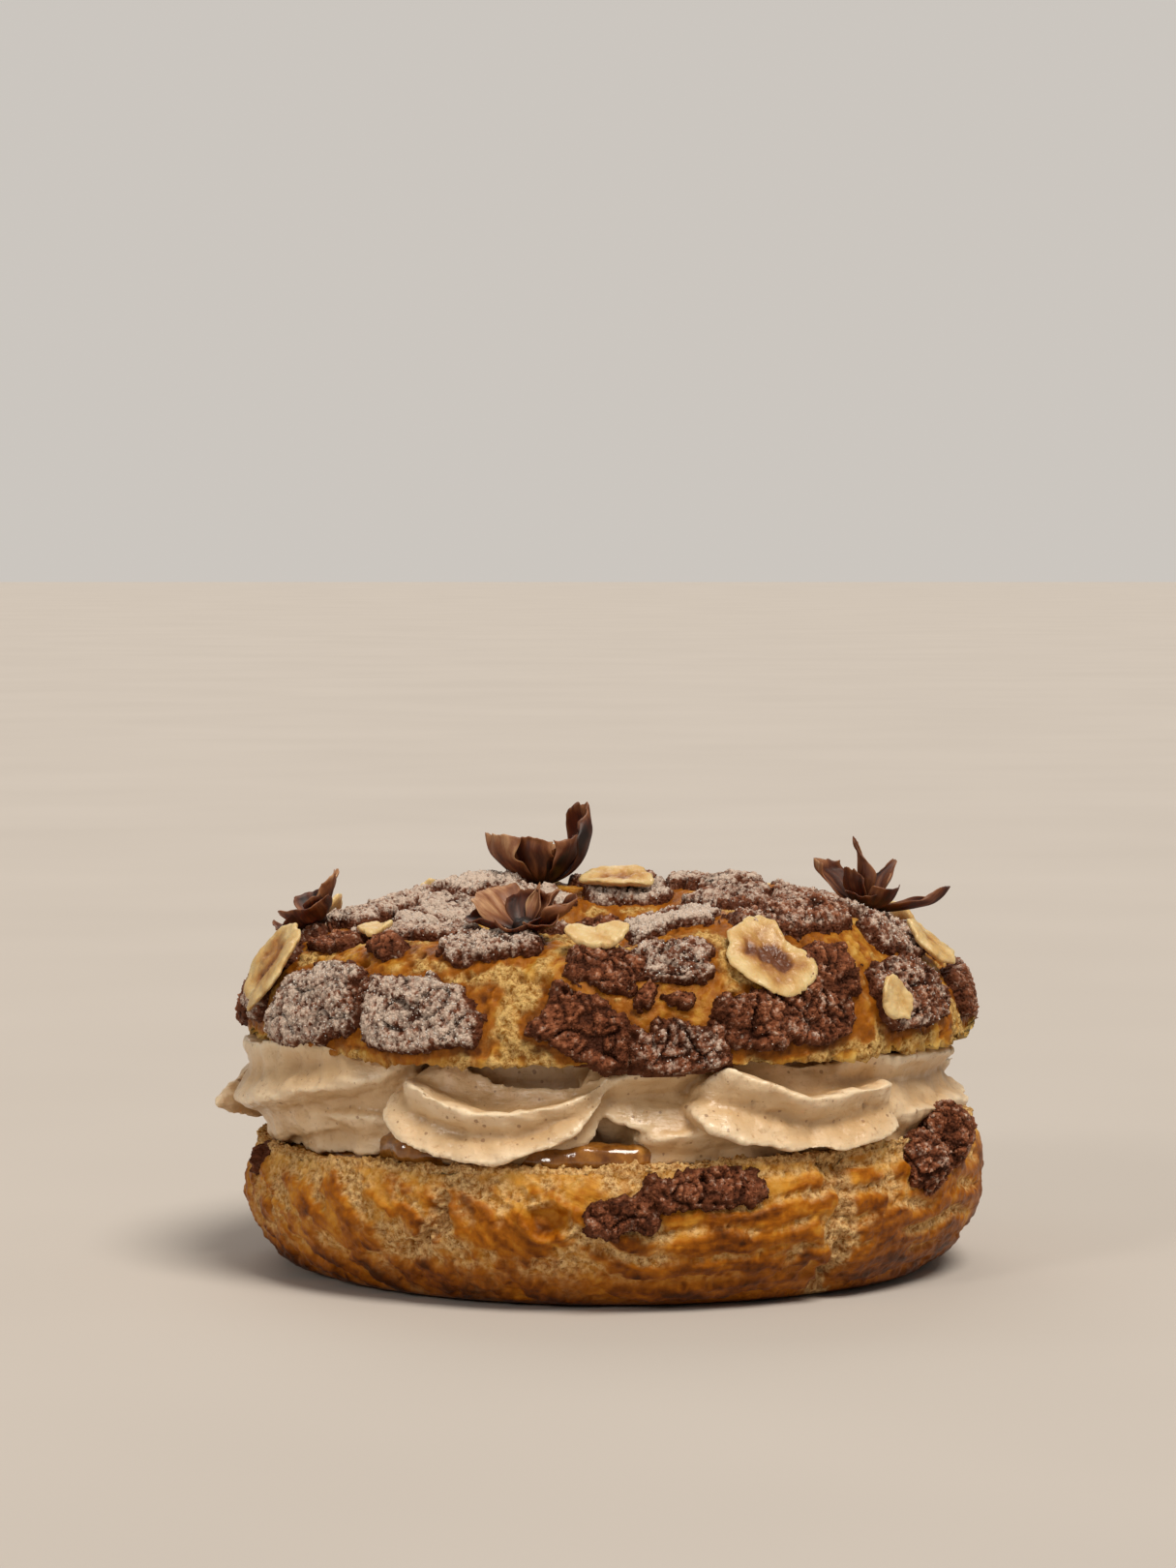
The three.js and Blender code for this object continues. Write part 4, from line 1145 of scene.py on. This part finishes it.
def by_nodes(name, tree, settings, start_mesh=None):
    """A plain mesh object made by a geometry node tree with these inputs."""
    made = in_scene(name, start_mesh or bpy.data.meshes.new(name))
    modifier = made.modifiers.new(name, "NODES")
    modifier.node_group = tree
    for item in tree.interface.items_tree:
        if item.in_out == "INPUT" and item.name in settings:
            modifier[item.identifier] = settings[item.name]
    plain_mesh(made)
    return made


def inner_strands():
    wide = 360 / INNER_STRANDS
    return [(i * wide - INNER_LAP, (i + 1) * wide + INNER_LAP, *INNER_STRAND) for i in range(INNER_STRANDS)]


def standing_out(mesh, points, normal, rounds):
    """How far each point of a mesh stands out of its smoothed surroundings."""
    ends = np.empty(2 * len(mesh.edges), np.int32)
    mesh.edges.foreach_get("vertices", ends)
    pairs = ends.reshape(-1, 2)
    here, there = np.concatenate([pairs, pairs[:, ::-1]]).T
    neighbours = np.bincount(here, minlength=len(points))
    smooth = points
    for _ in range(rounds):
        around = [np.bincount(here, smooth[there, k], len(points)) for k in range(3)]
        smooth = (np.array(around) / neighbours).T
    return ((points - smooth) * normal).sum(axis=1)


def cream_filling(material):
    tree = strand_tree()
    parts = []
    for i, values in enumerate(OUTER_STRANDS + BACK_STRANDS + inner_strands()):
        settings = dict(zip(STRAND_INPUTS, map(float, values)))
        parts.append(by_nodes(f"strand_{i}", tree, {**settings, "Material": material}))
        mesh = parts[-1].data
        p = vectors_of(mesh.vertices, "co")
        bends = [bumps(p + 50 * i, (0.6, 8, 51 + k), (0.22, 3, 59 + k)) for k in range(3)]
        move_points(mesh, p + np.stack(bends, axis=1))
    skin = RingSkin(evenly(CREAM_CORE, 1.5)[:-1], full_turn(1.5 * FINENESS, 38))
    parts.append(mesh_object("core", skin.points, skin.faces))
    cream = joined("cream_filling", parts)
    remesh = cream.modifiers.new("remesh", "REMESH")
    remesh.mode = "VOXEL"
    remesh.voxel_size = CREAM_VOXEL * MM / FINENESS
    soften = cream.modifiers.new("soften", "SMOOTH")
    soften.factor = 0.5
    soften.iterations = 5
    thin_out = cream.modifiers.new("thin_out", "DECIMATE")
    thin_out.ratio = CREAM_KEPT
    mesh = plain_mesh(cream)

    p, normal = vectors_of(mesh.vertices, "co") / MM, vectors_of(mesh.vertex_normals, "vector")
    turn = np.degrees(np.arctan2(p[:, 0], -p[:, 1]))
    radius = np.hypot(p[:, 0], p[:, 1])
    arc = np.radians(folded(turn)) * CREAM_GIRTH
    unrolled = np.column_stack([arc * FLOW_STRETCH, radius, p[:, 2]])
    # How far the cream stands out, for painted highlight on its ridges and painted shade in its valleys
    ridge = np.clip(0.5 + 0.7 * standing_out(mesh, p, normal, 18), 0, 1)
    pocks, _, _ = grains(p, 4.2, 56)
    relief = 0.14 * noise(unrolled, 0.9, 55) + bumps(p, (0.2, 1.6, 57), (0.25, 4, 58))
    p += normal * (relief - 0.6 * ease(0.13, 0.05, pocks))[:, None]
    lowest = np.where(radius > 41.5, BASE_HEIGHT - 0.1 + RIM_SLOPE * p[:, 0], 17.0)
    highest = LID_UNDERSIDE + 0.1 + 3 * ease(LID_OUTER - 0.5, LID_OUTER + 2, radius)
    p[:, 2] = np.clip(p[:, 2], lowest, highest)
    move_points(mesh, p)
    mesh.update()
    set_fields(mesh, {"flow": unrolled, "ridge": ridge})
    mesh.shade_smooth()
    return finished(cream, "cream", material, "cream")


# The praline's section, as radius and height
PRALINE_SECTION = [
    (30, 12.7), (39.7, 12.7), (41.8, 17), (41.4, 19.2), (39.8, 20.0), (37.9, 19), (36.6, 17.0), (22, 17.0),
    (20, 12.7), (30, 12.7),
]


def praline_bead(material):
    skin = RingSkin(evenly(PRALINE_SECTION, 0.7)[:-1], full_turn(0.7, CREAM_GIRTH))
    shown = ease(15.5, 17.5, skin.height) * ease(35, 38, skin.radius)
    relief = shown * (0.5 * noise(skin.points, 7, 61) + 0.22 * layered(skin.points, 1.8, 62))
    ahead = apart(skin.turn, 0)
    pushed = 2.4 * np.exp(-(((ahead + 35) / 4) ** 2)) + 1.9 * ease(-17, -12, ahead) * ease(8, 3, ahead)
    pushed -= 1.2 * ease(-100, -85, ahead) * ease(-40, -45, ahead)
    points = skin.pushed(relief)
    points[:, :2] += skin.spin * (shown * pushed)[:, None]
    return finished(mesh_object("praline_bead", points, skin.faces), "praline", material, "praline")


# Toppings

# Slices: turn and rise in degrees, radius in millimetres, stretch over the dome, depth and heading
# of a bite, and browning.
NUTS = [
    (26.5, 45, 5.3, 1.12, 0.42, 38, 1.0), (-3, 60, 3.6, 0.8, 0.75, 90, 0.0), (-69, 32, 4.7, 1.25, 0.0, 0, 0.8),
    (45.5, 21, 2.4, 1.15, 0.0, 0, 0.1), (72, 47, 3.4, 1.1, 0.0, 0, 0.5), (178, 111, 4.8, 0.6, 0.0, 0, 0.6),
    (-56, 73, 2.2, 1.0, 0.4, 90, 0.1), (118, 34, 4.8, 1.1, 0.4, 150, 1.0), (152, 52, 3.9, 1.0, 0.6, 90, 0.2),
    (214, 40, 5.0, 1.15, 0.35, 20, 1.0), (249, 50, 4.2, 1.0, 0.0, 0, 0.8),
]
NUT_THICKNESS = 1.0


class LidSpot:
    """A place on the lid: its origin on top of the crust there, X along the ring, Y over the dome
    and Z out of it."""

    def __init__(self, turn, rise, reach):
        radius, height = dome(rise)
        ahead, behind = dome(rise + 0.5), dome(rise - 0.5)
        across = np.array([ahead[0] - behind[0], ahead[1] - behind[1]])
        across /= np.linalg.norm(across)
        spin = outward(turn)
        along = np.array([-spin[1], spin[0], 0])
        over = np.array([*spin * across[0], across[1]])
        self.axes = np.array([along, over, np.cross(along, over)])
        x, y = flat_grid(np.linspace(-reach, reach, 9), np.linspace(-reach, reach, 9))
        turns, rises = turn + np.degrees(x / radius), rise + np.degrees(y / LID_RISE)
        points, _, relief, (distance, _, roughness) = lid_surface(turns, rises)
        crust, _, _ = crust_relief(distance, roughness, points)
        fallen = x * x / (2 * TUBE_RADIUS) + y * y / (2 * LID_RISE)
        top = np.quantile((relief + np.maximum(crust, 0) - 0.6 * fallen)[np.hypot(x, y) <= reach], 0.9)
        self.origin = np.array([*spin * radius, height]) + self.axes[2] * top

    def placed(self, points):
        return self.origin + np.asarray(points) @ self.axes


def broken_outline(angle, seed):
    """Reach of a chipped many-sided slice, about 1."""
    sides = 7 + seed % 3
    reach = np.full(len(angle), 9.0)
    for k in range(sides):
        facing = 2 * math.pi * (k + 0.7 * (draw(seed * 17 + k) - 0.5)) / sides
        side = 0.86 + 0.22 * draw(seed * 29 + k)
        reach = np.minimum(reach, side / np.maximum(np.cos(angle - facing), 0.2))
    return np.minimum(reach, 1.22)


def nut_slice(index, values, material):
    turn, rise, radius, stretch, bite, bite_heading, browning = values
    rings, sides = int(22 * FINENESS), int(96 * FINENESS)
    spot = LidSpot(turn, rise, radius * 0.8)
    share, angle = flat_grid(np.linspace(0.04, 1, rings), np.linspace(0, 2 * math.pi, sides, endpoint=False))
    toward = np.maximum(0, np.cos(angle - math.radians(bite_heading)))
    missing = bite * toward ** (3 if bite > 0.5 else 9)
    around = 5 * np.column_stack([np.cos(angle), np.sin(angle), np.full(len(angle), float(index))])
    broken = 0.55 if browning > 0.15 else 0.2
    ragged = 1 + broken * (broken_outline(angle, index) - 1) - missing
    ragged += bumps(around, (0.1, 2.2, 71), (0.05, 0.7, 72))
    middle = -radius * stretch * 0.55 if bite > 0.5 else 0.0
    x = radius * share * ragged * np.cos(angle)
    y = stretch * radius * share * ragged * np.sin(angle) + middle * (1 - share)
    flat = np.column_stack([x, y, np.zeros(len(x))])
    far = flat + 40 * index
    dish = 0.3 * share**2 * np.sin(2 * angle + index) + bumps(far, (0.25, 3.6, 73), (0.08, 1.2, 74))
    dish += 0.5 * share**3 * (0.6 + noise(around, 3, 75))
    hollow = browning * ease(0.6, 0.12, share + 0.35 * noise(far, 1.8, 78))
    rough = 0.08 + 0.14 * hollow
    half = NUT_THICKNESS / 2 * np.sqrt(np.clip(1 - share**8, 0.02, 1))
    worn = 0.4 * hollow - rough * bumps(far, (1, 0.6, 76), (1, 1.1, 79))
    upper = np.column_stack([x, y, NUT_THICKNESS / 2 + dish + half - worn])
    lower = np.column_stack([x, y, NUT_THICKNESS / 2 + dish - half])
    count = rings * sides
    faces = grid_faces(rings, sides, False, True)
    hem = np.arange(sides) + (rings - 1) * sides
    walls = np.stack([hem, hem + count, np.roll(hem, -1) + count, np.roll(hem, -1)], axis=1)
    toast = 0.08 + 0.55 * browning * ease(1.05, 0.2, share + 0.3 * noise(far, 3, 80))
    toast = np.clip(toast + 0.3 * hollow + 0.2 * noise(far, 2, 77), 0, 1)
    made = mesh_object(
        f"nut_slice_{index + 1}",
        spot.placed(np.vstack([upper, lower])),
        np.vstack([faces, faces[:, ::-1] + count, walls]),
        {"toast": np.concatenate([toast, toast])},
    )
    filled(made)
    return finished(made, "hazelnut", material, f"nut_{index + 1}")


# Blooms: turn and rise, then petals with heading round the bloom, length, width, tilt, curl, cup and fading.
BLOOMS = {
    "bloom_front": (-19, 80, [
        (160, 7.0, 7.4, 30, 24, 0.30, 0.9), (196, 6.6, 5.0, 4, 14, 0.25, 0.1), (6, 7.4, 4.2, 12, 44, 0.55, 0.3),
        (-34, 5.4, 4.6, 2, 30, 0.45, 0.2), (-82, 4.0, 5.4, 2, 36, 0.40, 0.0), (40, 6.0, 3.6, 34, 30, 0.50, 0.4),
        (96, 5.0, 5.0, 48, 24, 0.40, 0.0), (64, 6.0, 2.4, 58, 16, 0.50, 0.9),
    ]),
    "bloom_left": (-85, 64, [
        (-8, 5.4, 7.0, 8, 44, 0.35, 0.2), (-66, 5.2, 5.6, 0, 40, 0.40, 0.1), (66, 6.8, 4.6, 42, 14, 0.40, 0.6),
        (106, 6.8, 3.6, 46, 10, 0.50, 0.8), (160, 5.4, 5.0, 24, 30, 0.40, 0.1), (28, 4.6, 4.0, 40, 20, 0.50, 0.0),
    ]),
    "bloom_back": (-162, 92, [
        (0, 9.8, 7.6, 8, 74, 0.40, 0.6), (180, 12.0, 7.0, 8, 112, 0.45, 0.1), (90, 6.2, 8.6, 36, 40, 0.35, 0.2),
        (-90, 6.0, 7.6, 44, 30, 0.35, 0.2), (42, 7.8, 6.0, 28, 50, 0.40, 0.4), (138, 8.0, 6.0, 28, 54, 0.40, 0.1),
    ]),
    "bloom_right": (88, 84, [
        (72, 8.8, 6.4, 22, 40, 0.35, 0.3), (104, 9.2, 4.4, 76, 6, 0.60, 0.5), (-40, 7.6, 3.6, 64, -14, 0.55, 0.3),
        (-95, 10.0, 4.0, -6, 56, 0.55, 0.1), (-146, 5.6, 4.4, 12, 44, 0.45, 0.1), (168, 4.6, 5.0, 8, 34, 0.40, 0.0),
        (130, 6.0, 4.6, 46, 24, 0.40, 0.2),
    ]),
}
PETAL_THICKNESS = 0.2
CALYX_RADIUS = 1.3
# How far a bloom sinks into the crust
BLOOM_SUNK = 0.45


def petal(seed, heading, length, width, tilt, curl, cup, fading):
    """Points, faces and fields of one dried petal round a calyx at the origin: papery, veined
    and curled at its edge."""
    columns, rows = int(36 * FINENESS), int(32 * FINENESS)
    along, across = flat_grid(np.linspace(0, 1, columns), np.linspace(-1, 1, rows))
    spread = np.column_stack([along * length, across * width / 2, np.full(len(along), 31.0 * seed)])
    lengthwise = spread * [0.18, 1, 1]
    pointed = 0.75 * ease(0.75, 0.45, width / length)
    half = width / 2 * (0.22 + 0.78 * ease(-0.15, 0.66, along)) * (1 - pointed * ease(0.5, 1.06, along))
    half = half * (1 + 0.16 * noise(spread, 3, 81) * np.abs(across))
    bend = np.radians(tilt + curl * along / 2 + 8 * noise(spread, 5, 82) * along)
    edge = np.maximum(0, np.abs(across) - 0.5) * 2
    lift = half * (cup * across**2 + 0.5 * edge**2 * noise(spread, 5, 89))
    lift += along * (0.3 * noise(spread, 3, 83) + 0.2 * noise(lengthwise, 2.2, 87))
    lift += 0.09 * noise(lengthwise, 0.8, 84)
    lift += 0.5 * ease(0.75, 1.0, along) * noise(spread + 9, 2.5, 88)
    tear = np.abs(noise(lengthwise, 1.6, 85)) + 0.4 * np.abs(noise(lengthwise, 0.6, 90))
    tip = length * (along - 0.2 * across**2 * along - 0.1 * tear * ease(0.7, 1.0, along))
    middle = np.column_stack([
        tip * np.cos(bend) - lift * np.sin(bend) + 0.6 * CALYX_RADIUS,
        half * across,
        tip * np.sin(bend) + lift * np.cos(bend) + 0.45 * CALYX_RADIUS,
    ])
    grid = middle.reshape(columns, rows, 3)
    normal = np.cross(np.gradient(grid, axis=0), np.gradient(grid, axis=1)).reshape(-1, 3)
    normal /= np.linalg.norm(normal, axis=1)[:, None] + 1e-9
    thin = PETAL_THICKNESS / 2 * (1 - 0.5 * np.maximum(np.abs(across), along) ** 4)
    points = np.vstack([middle + normal * thin[:, None], middle - normal * thin[:, None]])
    c, s = math.cos(math.radians(heading)), math.sin(math.radians(heading))
    points = points @ np.array([[c, s, 0], [-s, c, 0], [0, 0, 1]])
    faded = fading * ease(0.0, 0.5, along) + 0.4 * ease(0.82, 1.0, np.maximum(np.abs(across), along))
    faded += 0.5 * noise(spread * [0.5, 1, 1], 2, 86) - 0.35 * ease(0.3, 0.0, along)
    fields = {"flow": np.tile(lengthwise, (2, 1)), "faded": np.tile(np.clip(faded, -0.4, 1.2), 2)}
    return points, shell_faces(grid_faces(columns, rows, False, False), columns * rows), fields


def bloom(name, material):
    turn, rise, petals = BLOOMS[name]
    spot = LidSpot(turn, rise, CALYX_RADIUS)
    out, ball_faces = ball_grid(20, 12, 1.45)
    ball = CALYX_RADIUS * (out * [1, 1, 0.9] + [0, 0, 0.8])
    ball = ball * (1 + 0.15 * noise(ball * 3, 2, 87))[:, None]
    parts = [(ball, ball_faces, {"flow": ball, "faded": np.full(len(ball), -0.3)})]
    parts += [petal(len(name) * 7 + i, *values) for i, values in enumerate(petals)]
    starts = np.cumsum([0] + [len(points) for points, _, _ in parts])
    fields = {field: np.concatenate([made[field] for _, _, made in parts]) for field in ("flow", "faded")}
    points = np.vstack([points for points, _, _ in parts])
    faces = np.vstack([faces + start for (_, faces, _), start in zip(parts, starts)])
    points[:, 2] -= BLOOM_SUNK
    made = filled(mesh_object(name + "_petals", spot.placed(points), faces, fields))
    return finished(made, "petal", material, name)


# Scattered grains

SCATTER_INPUTS = {
    "Surface": "Geometry", "Density": "Float", "Smallest": "Float", "Largest": "Float", "Seed": "Int",
    "Grain": "Object", "Material": "Material",
}
GOLDEN_ANGLE = 2.39996
PER_SQUARE_METRE = 1e6


def scatter_tree(field, low, high):
    """Geometry nodes that set grains on a surface where one of its fields is high."""
    board, given = geometry_board("scattered_grains", SCATTER_INPUTS)
    value = board.add("GeometryNodeInputNamedAttribute", {"Name": field}, data_type="FLOAT").outputs[0]
    density = board.times(given["Density"], board.remap(value, low, high))
    spread = {"Mesh": given["Surface"], "Density": density, "Seed": given["Seed"]}
    points = board.add("GeometryNodeDistributePointsOnFaces", spread, distribute_method="RANDOM")
    spin = board.add("FunctionNodeRandomValue", {"Seed": given["Seed"]}, data_type="FLOAT_VECTOR")
    spin.inputs["Max"].default_value = (6.28, 6.28, 6.28)
    size = board.add("FunctionNodeRandomValue", {"Seed": given["Seed"]}, data_type="FLOAT")
    board.feed(size.inputs[2], given["Smallest"])
    board.feed(size.inputs[3], given["Largest"])
    grain = board.add("GeometryNodeObjectInfo", {"Object": given["Grain"]}).outputs["Geometry"]
    placed = {"Points": points.outputs["Points"], "Instance": grain}
    placed |= {"Rotation": spin.outputs[0], "Scale": size.outputs[1]}
    made = board.add("GeometryNodeInstanceOnPoints", placed).outputs[0]
    return handed_out(board, made, given["Material"])


def grain_shape(name, points, seed):
    """A small many-sided grain about one millimetre across."""
    work = bmesh.new()
    for i in range(points):
        lift = 1 - 2 * (i + 0.5) / points
        angle = GOLDEN_ANGLE * i
        reach = 0.5 * MM * (0.7 + 0.5 * draw(seed + i))
        flat = math.sqrt(1 - lift * lift)
        work.verts.new((reach * flat * math.cos(angle), reach * flat * math.sin(angle), reach * lift))
    bmesh.ops.convex_hull(work, input=work.verts)
    mesh = bpy.data.meshes.new(name)
    work.to_mesh(mesh)
    work.free()
    return bpy.data.objects.new(name, mesh)


def scattered(name, surfaces, tree, grain, material, slot, density, smallest, largest, seed):
    """Grains of one kind over several surfaces, fewer where they face away from the front."""
    parts = []
    for i, surface in enumerate(surfaces):
        share = REAR_SHARE if surface.name in REAR_SLABS else 1.0
        settings = {"Density": share * density * PER_SQUARE_METRE, "Smallest": smallest, "Largest": largest}
        settings |= {"Seed": seed + i, "Grain": grain, "Material": material}
        parts.append(by_nodes(f"{name}_{i}", tree, settings, surface.data.copy()))
    return finished(joined(name, parts), slot, material)


# Stage

FLOOR_CORNERS = [(-9000, -9000, 0), (9000, -9000, 0), (9000, 9000, 0), (-9000, 9000, 0)]


def stage():
    floor = mesh_object("floor", FLOOR_CORNERS, [(0, 1, 2, 3)])
    board = FinishBoard("pale_floor", Roughness=0.9, Specular_IOR_Level=0.1)
    tint = board.ramp(board.mottle(60, 2), (0.3, 190, 183, 176), (0.7, 194, 187, 180))
    floor.data.materials.append(board.set(Base_Color=tint))
    world = bpy.data.worlds.new("studio")
    world.use_nodes = True
    backdrop = NodeBoard(world.node_tree)
    seen = backdrop.add("ShaderNodeLightPath").outputs["Is Camera Ray"]
    glow = world.node_tree.nodes["Background"]
    glow.inputs["Color"].default_value = (1.0, 0.94, 0.87, 1)
    backdrop.feed(glow.inputs["Strength"], backdrop.between(0.27, 0.6, seen))
    bpy.context.scene.world = world
    soft_light("key", (130, -210, 390), 2.8, 26, (1.0, 0.93, 0.83))
    soft_light("fill", (-230, -290, 150), 0.62, 12, (1.0, 0.95, 0.88))
    soft_light("back", (-60, 300, 300), 0.6, 40, (1.0, 0.95, 0.9))


def soft_light(name, place, strength, spread, tint):
    """Even light from one side, with shadows softened over a spread in degrees."""
    lamp = bpy.data.lights.new(name, "SUN")
    lamp.energy = strength
    lamp.color = tint
    lamp.angle = math.radians(spread)
    holder = in_scene(name, lamp)
    holder.location = [v * MM for v in place]
    holder.rotation_euler = (-Vector(place)).to_track_quat("-Z", "Y").to_euler()


# Camera fitted to the photograph, 1215 by 1620
PHOTO_HEIGHT = 1620
SENSOR_WIDTH = 36
FOCAL_PIXELS = 5000.5
CAMERA_PLACE = (-3.056, -600, 90)
CAMERA_PITCH = 2.927


def camera():
    data = bpy.data.cameras.new("camera")
    data.sensor_fit = "AUTO"
    data.sensor_width = SENSOR_WIDTH
    data.lens = SENSOR_WIDTH * FOCAL_PIXELS / PHOTO_HEIGHT
    data.clip_start, data.clip_end = 0.01, 20
    holder = in_scene("camera", data)
    holder.location = [v * MM for v in CAMERA_PLACE]
    holder.rotation_euler = (math.radians(90 - CAMERA_PITCH), 0, 0)
    bpy.context.scene.camera = holder


def build():
    base_stops = [
        (0.0, 214, 168, 86),
        (0.3, 194, 134, 44),
        (0.55, 160, 92, 14),
        (0.8, 112, 56, 6),
        (1.0, 66, 28, 3),
    ]
    lid_stops = [
        (0.0, 214, 180, 104),
        (0.35, 182, 130, 48),
        (0.6, 150, 86, 18),
        (1.0, 84, 38, 6),
    ]
    base = base_choux(choux_finish("base_crust", base_stops, (236, 198, 140), (138, 86, 32)))
    lid_choux(choux_finish("lid_crust", lid_stops, (226, 188, 120), (140, 90, 28)))
    crust = crust_finish()
    slabs = crust_slabs(crust)
    cream_filling(cream_finish())
    praline_bead(praline_finish())
    nut = nut_finish()
    for i, values in enumerate(NUTS):
        nut_slice(i, values, nut)
    petals = petal_finish()
    for name in BLOOMS:
        bloom(name, petals)
    crumb = grain_shape("crumb", 8, 3)
    crystal = grain_shape("crystal", 8, 40)
    crumbly = scatter_tree("crumbly", 0.2, 0.9)
    dusted = scatter_tree("sugar", 0.1, 0.8)
    torn = scatter_tree("rim", 0.2, 0.8)
    sugar = sugar_finish()
    scattered("crust_crumbs", slabs, crumbly, crumb, crust, "crust", 2.6, 0.18, 0.5, 5)
    scattered("sugar_grains", slabs, dusted, crystal, sugar, "crust", 2.2, 0.12, 0.3, 15)
    scattered("rim_crumbs", [base], torn, crumb, base.data.materials[0], "choux", 0.8, 0.22, 0.7, 31)
    bpy.context.scene.view_settings.view_transform = "Standard"
    stage()
    camera()


build()
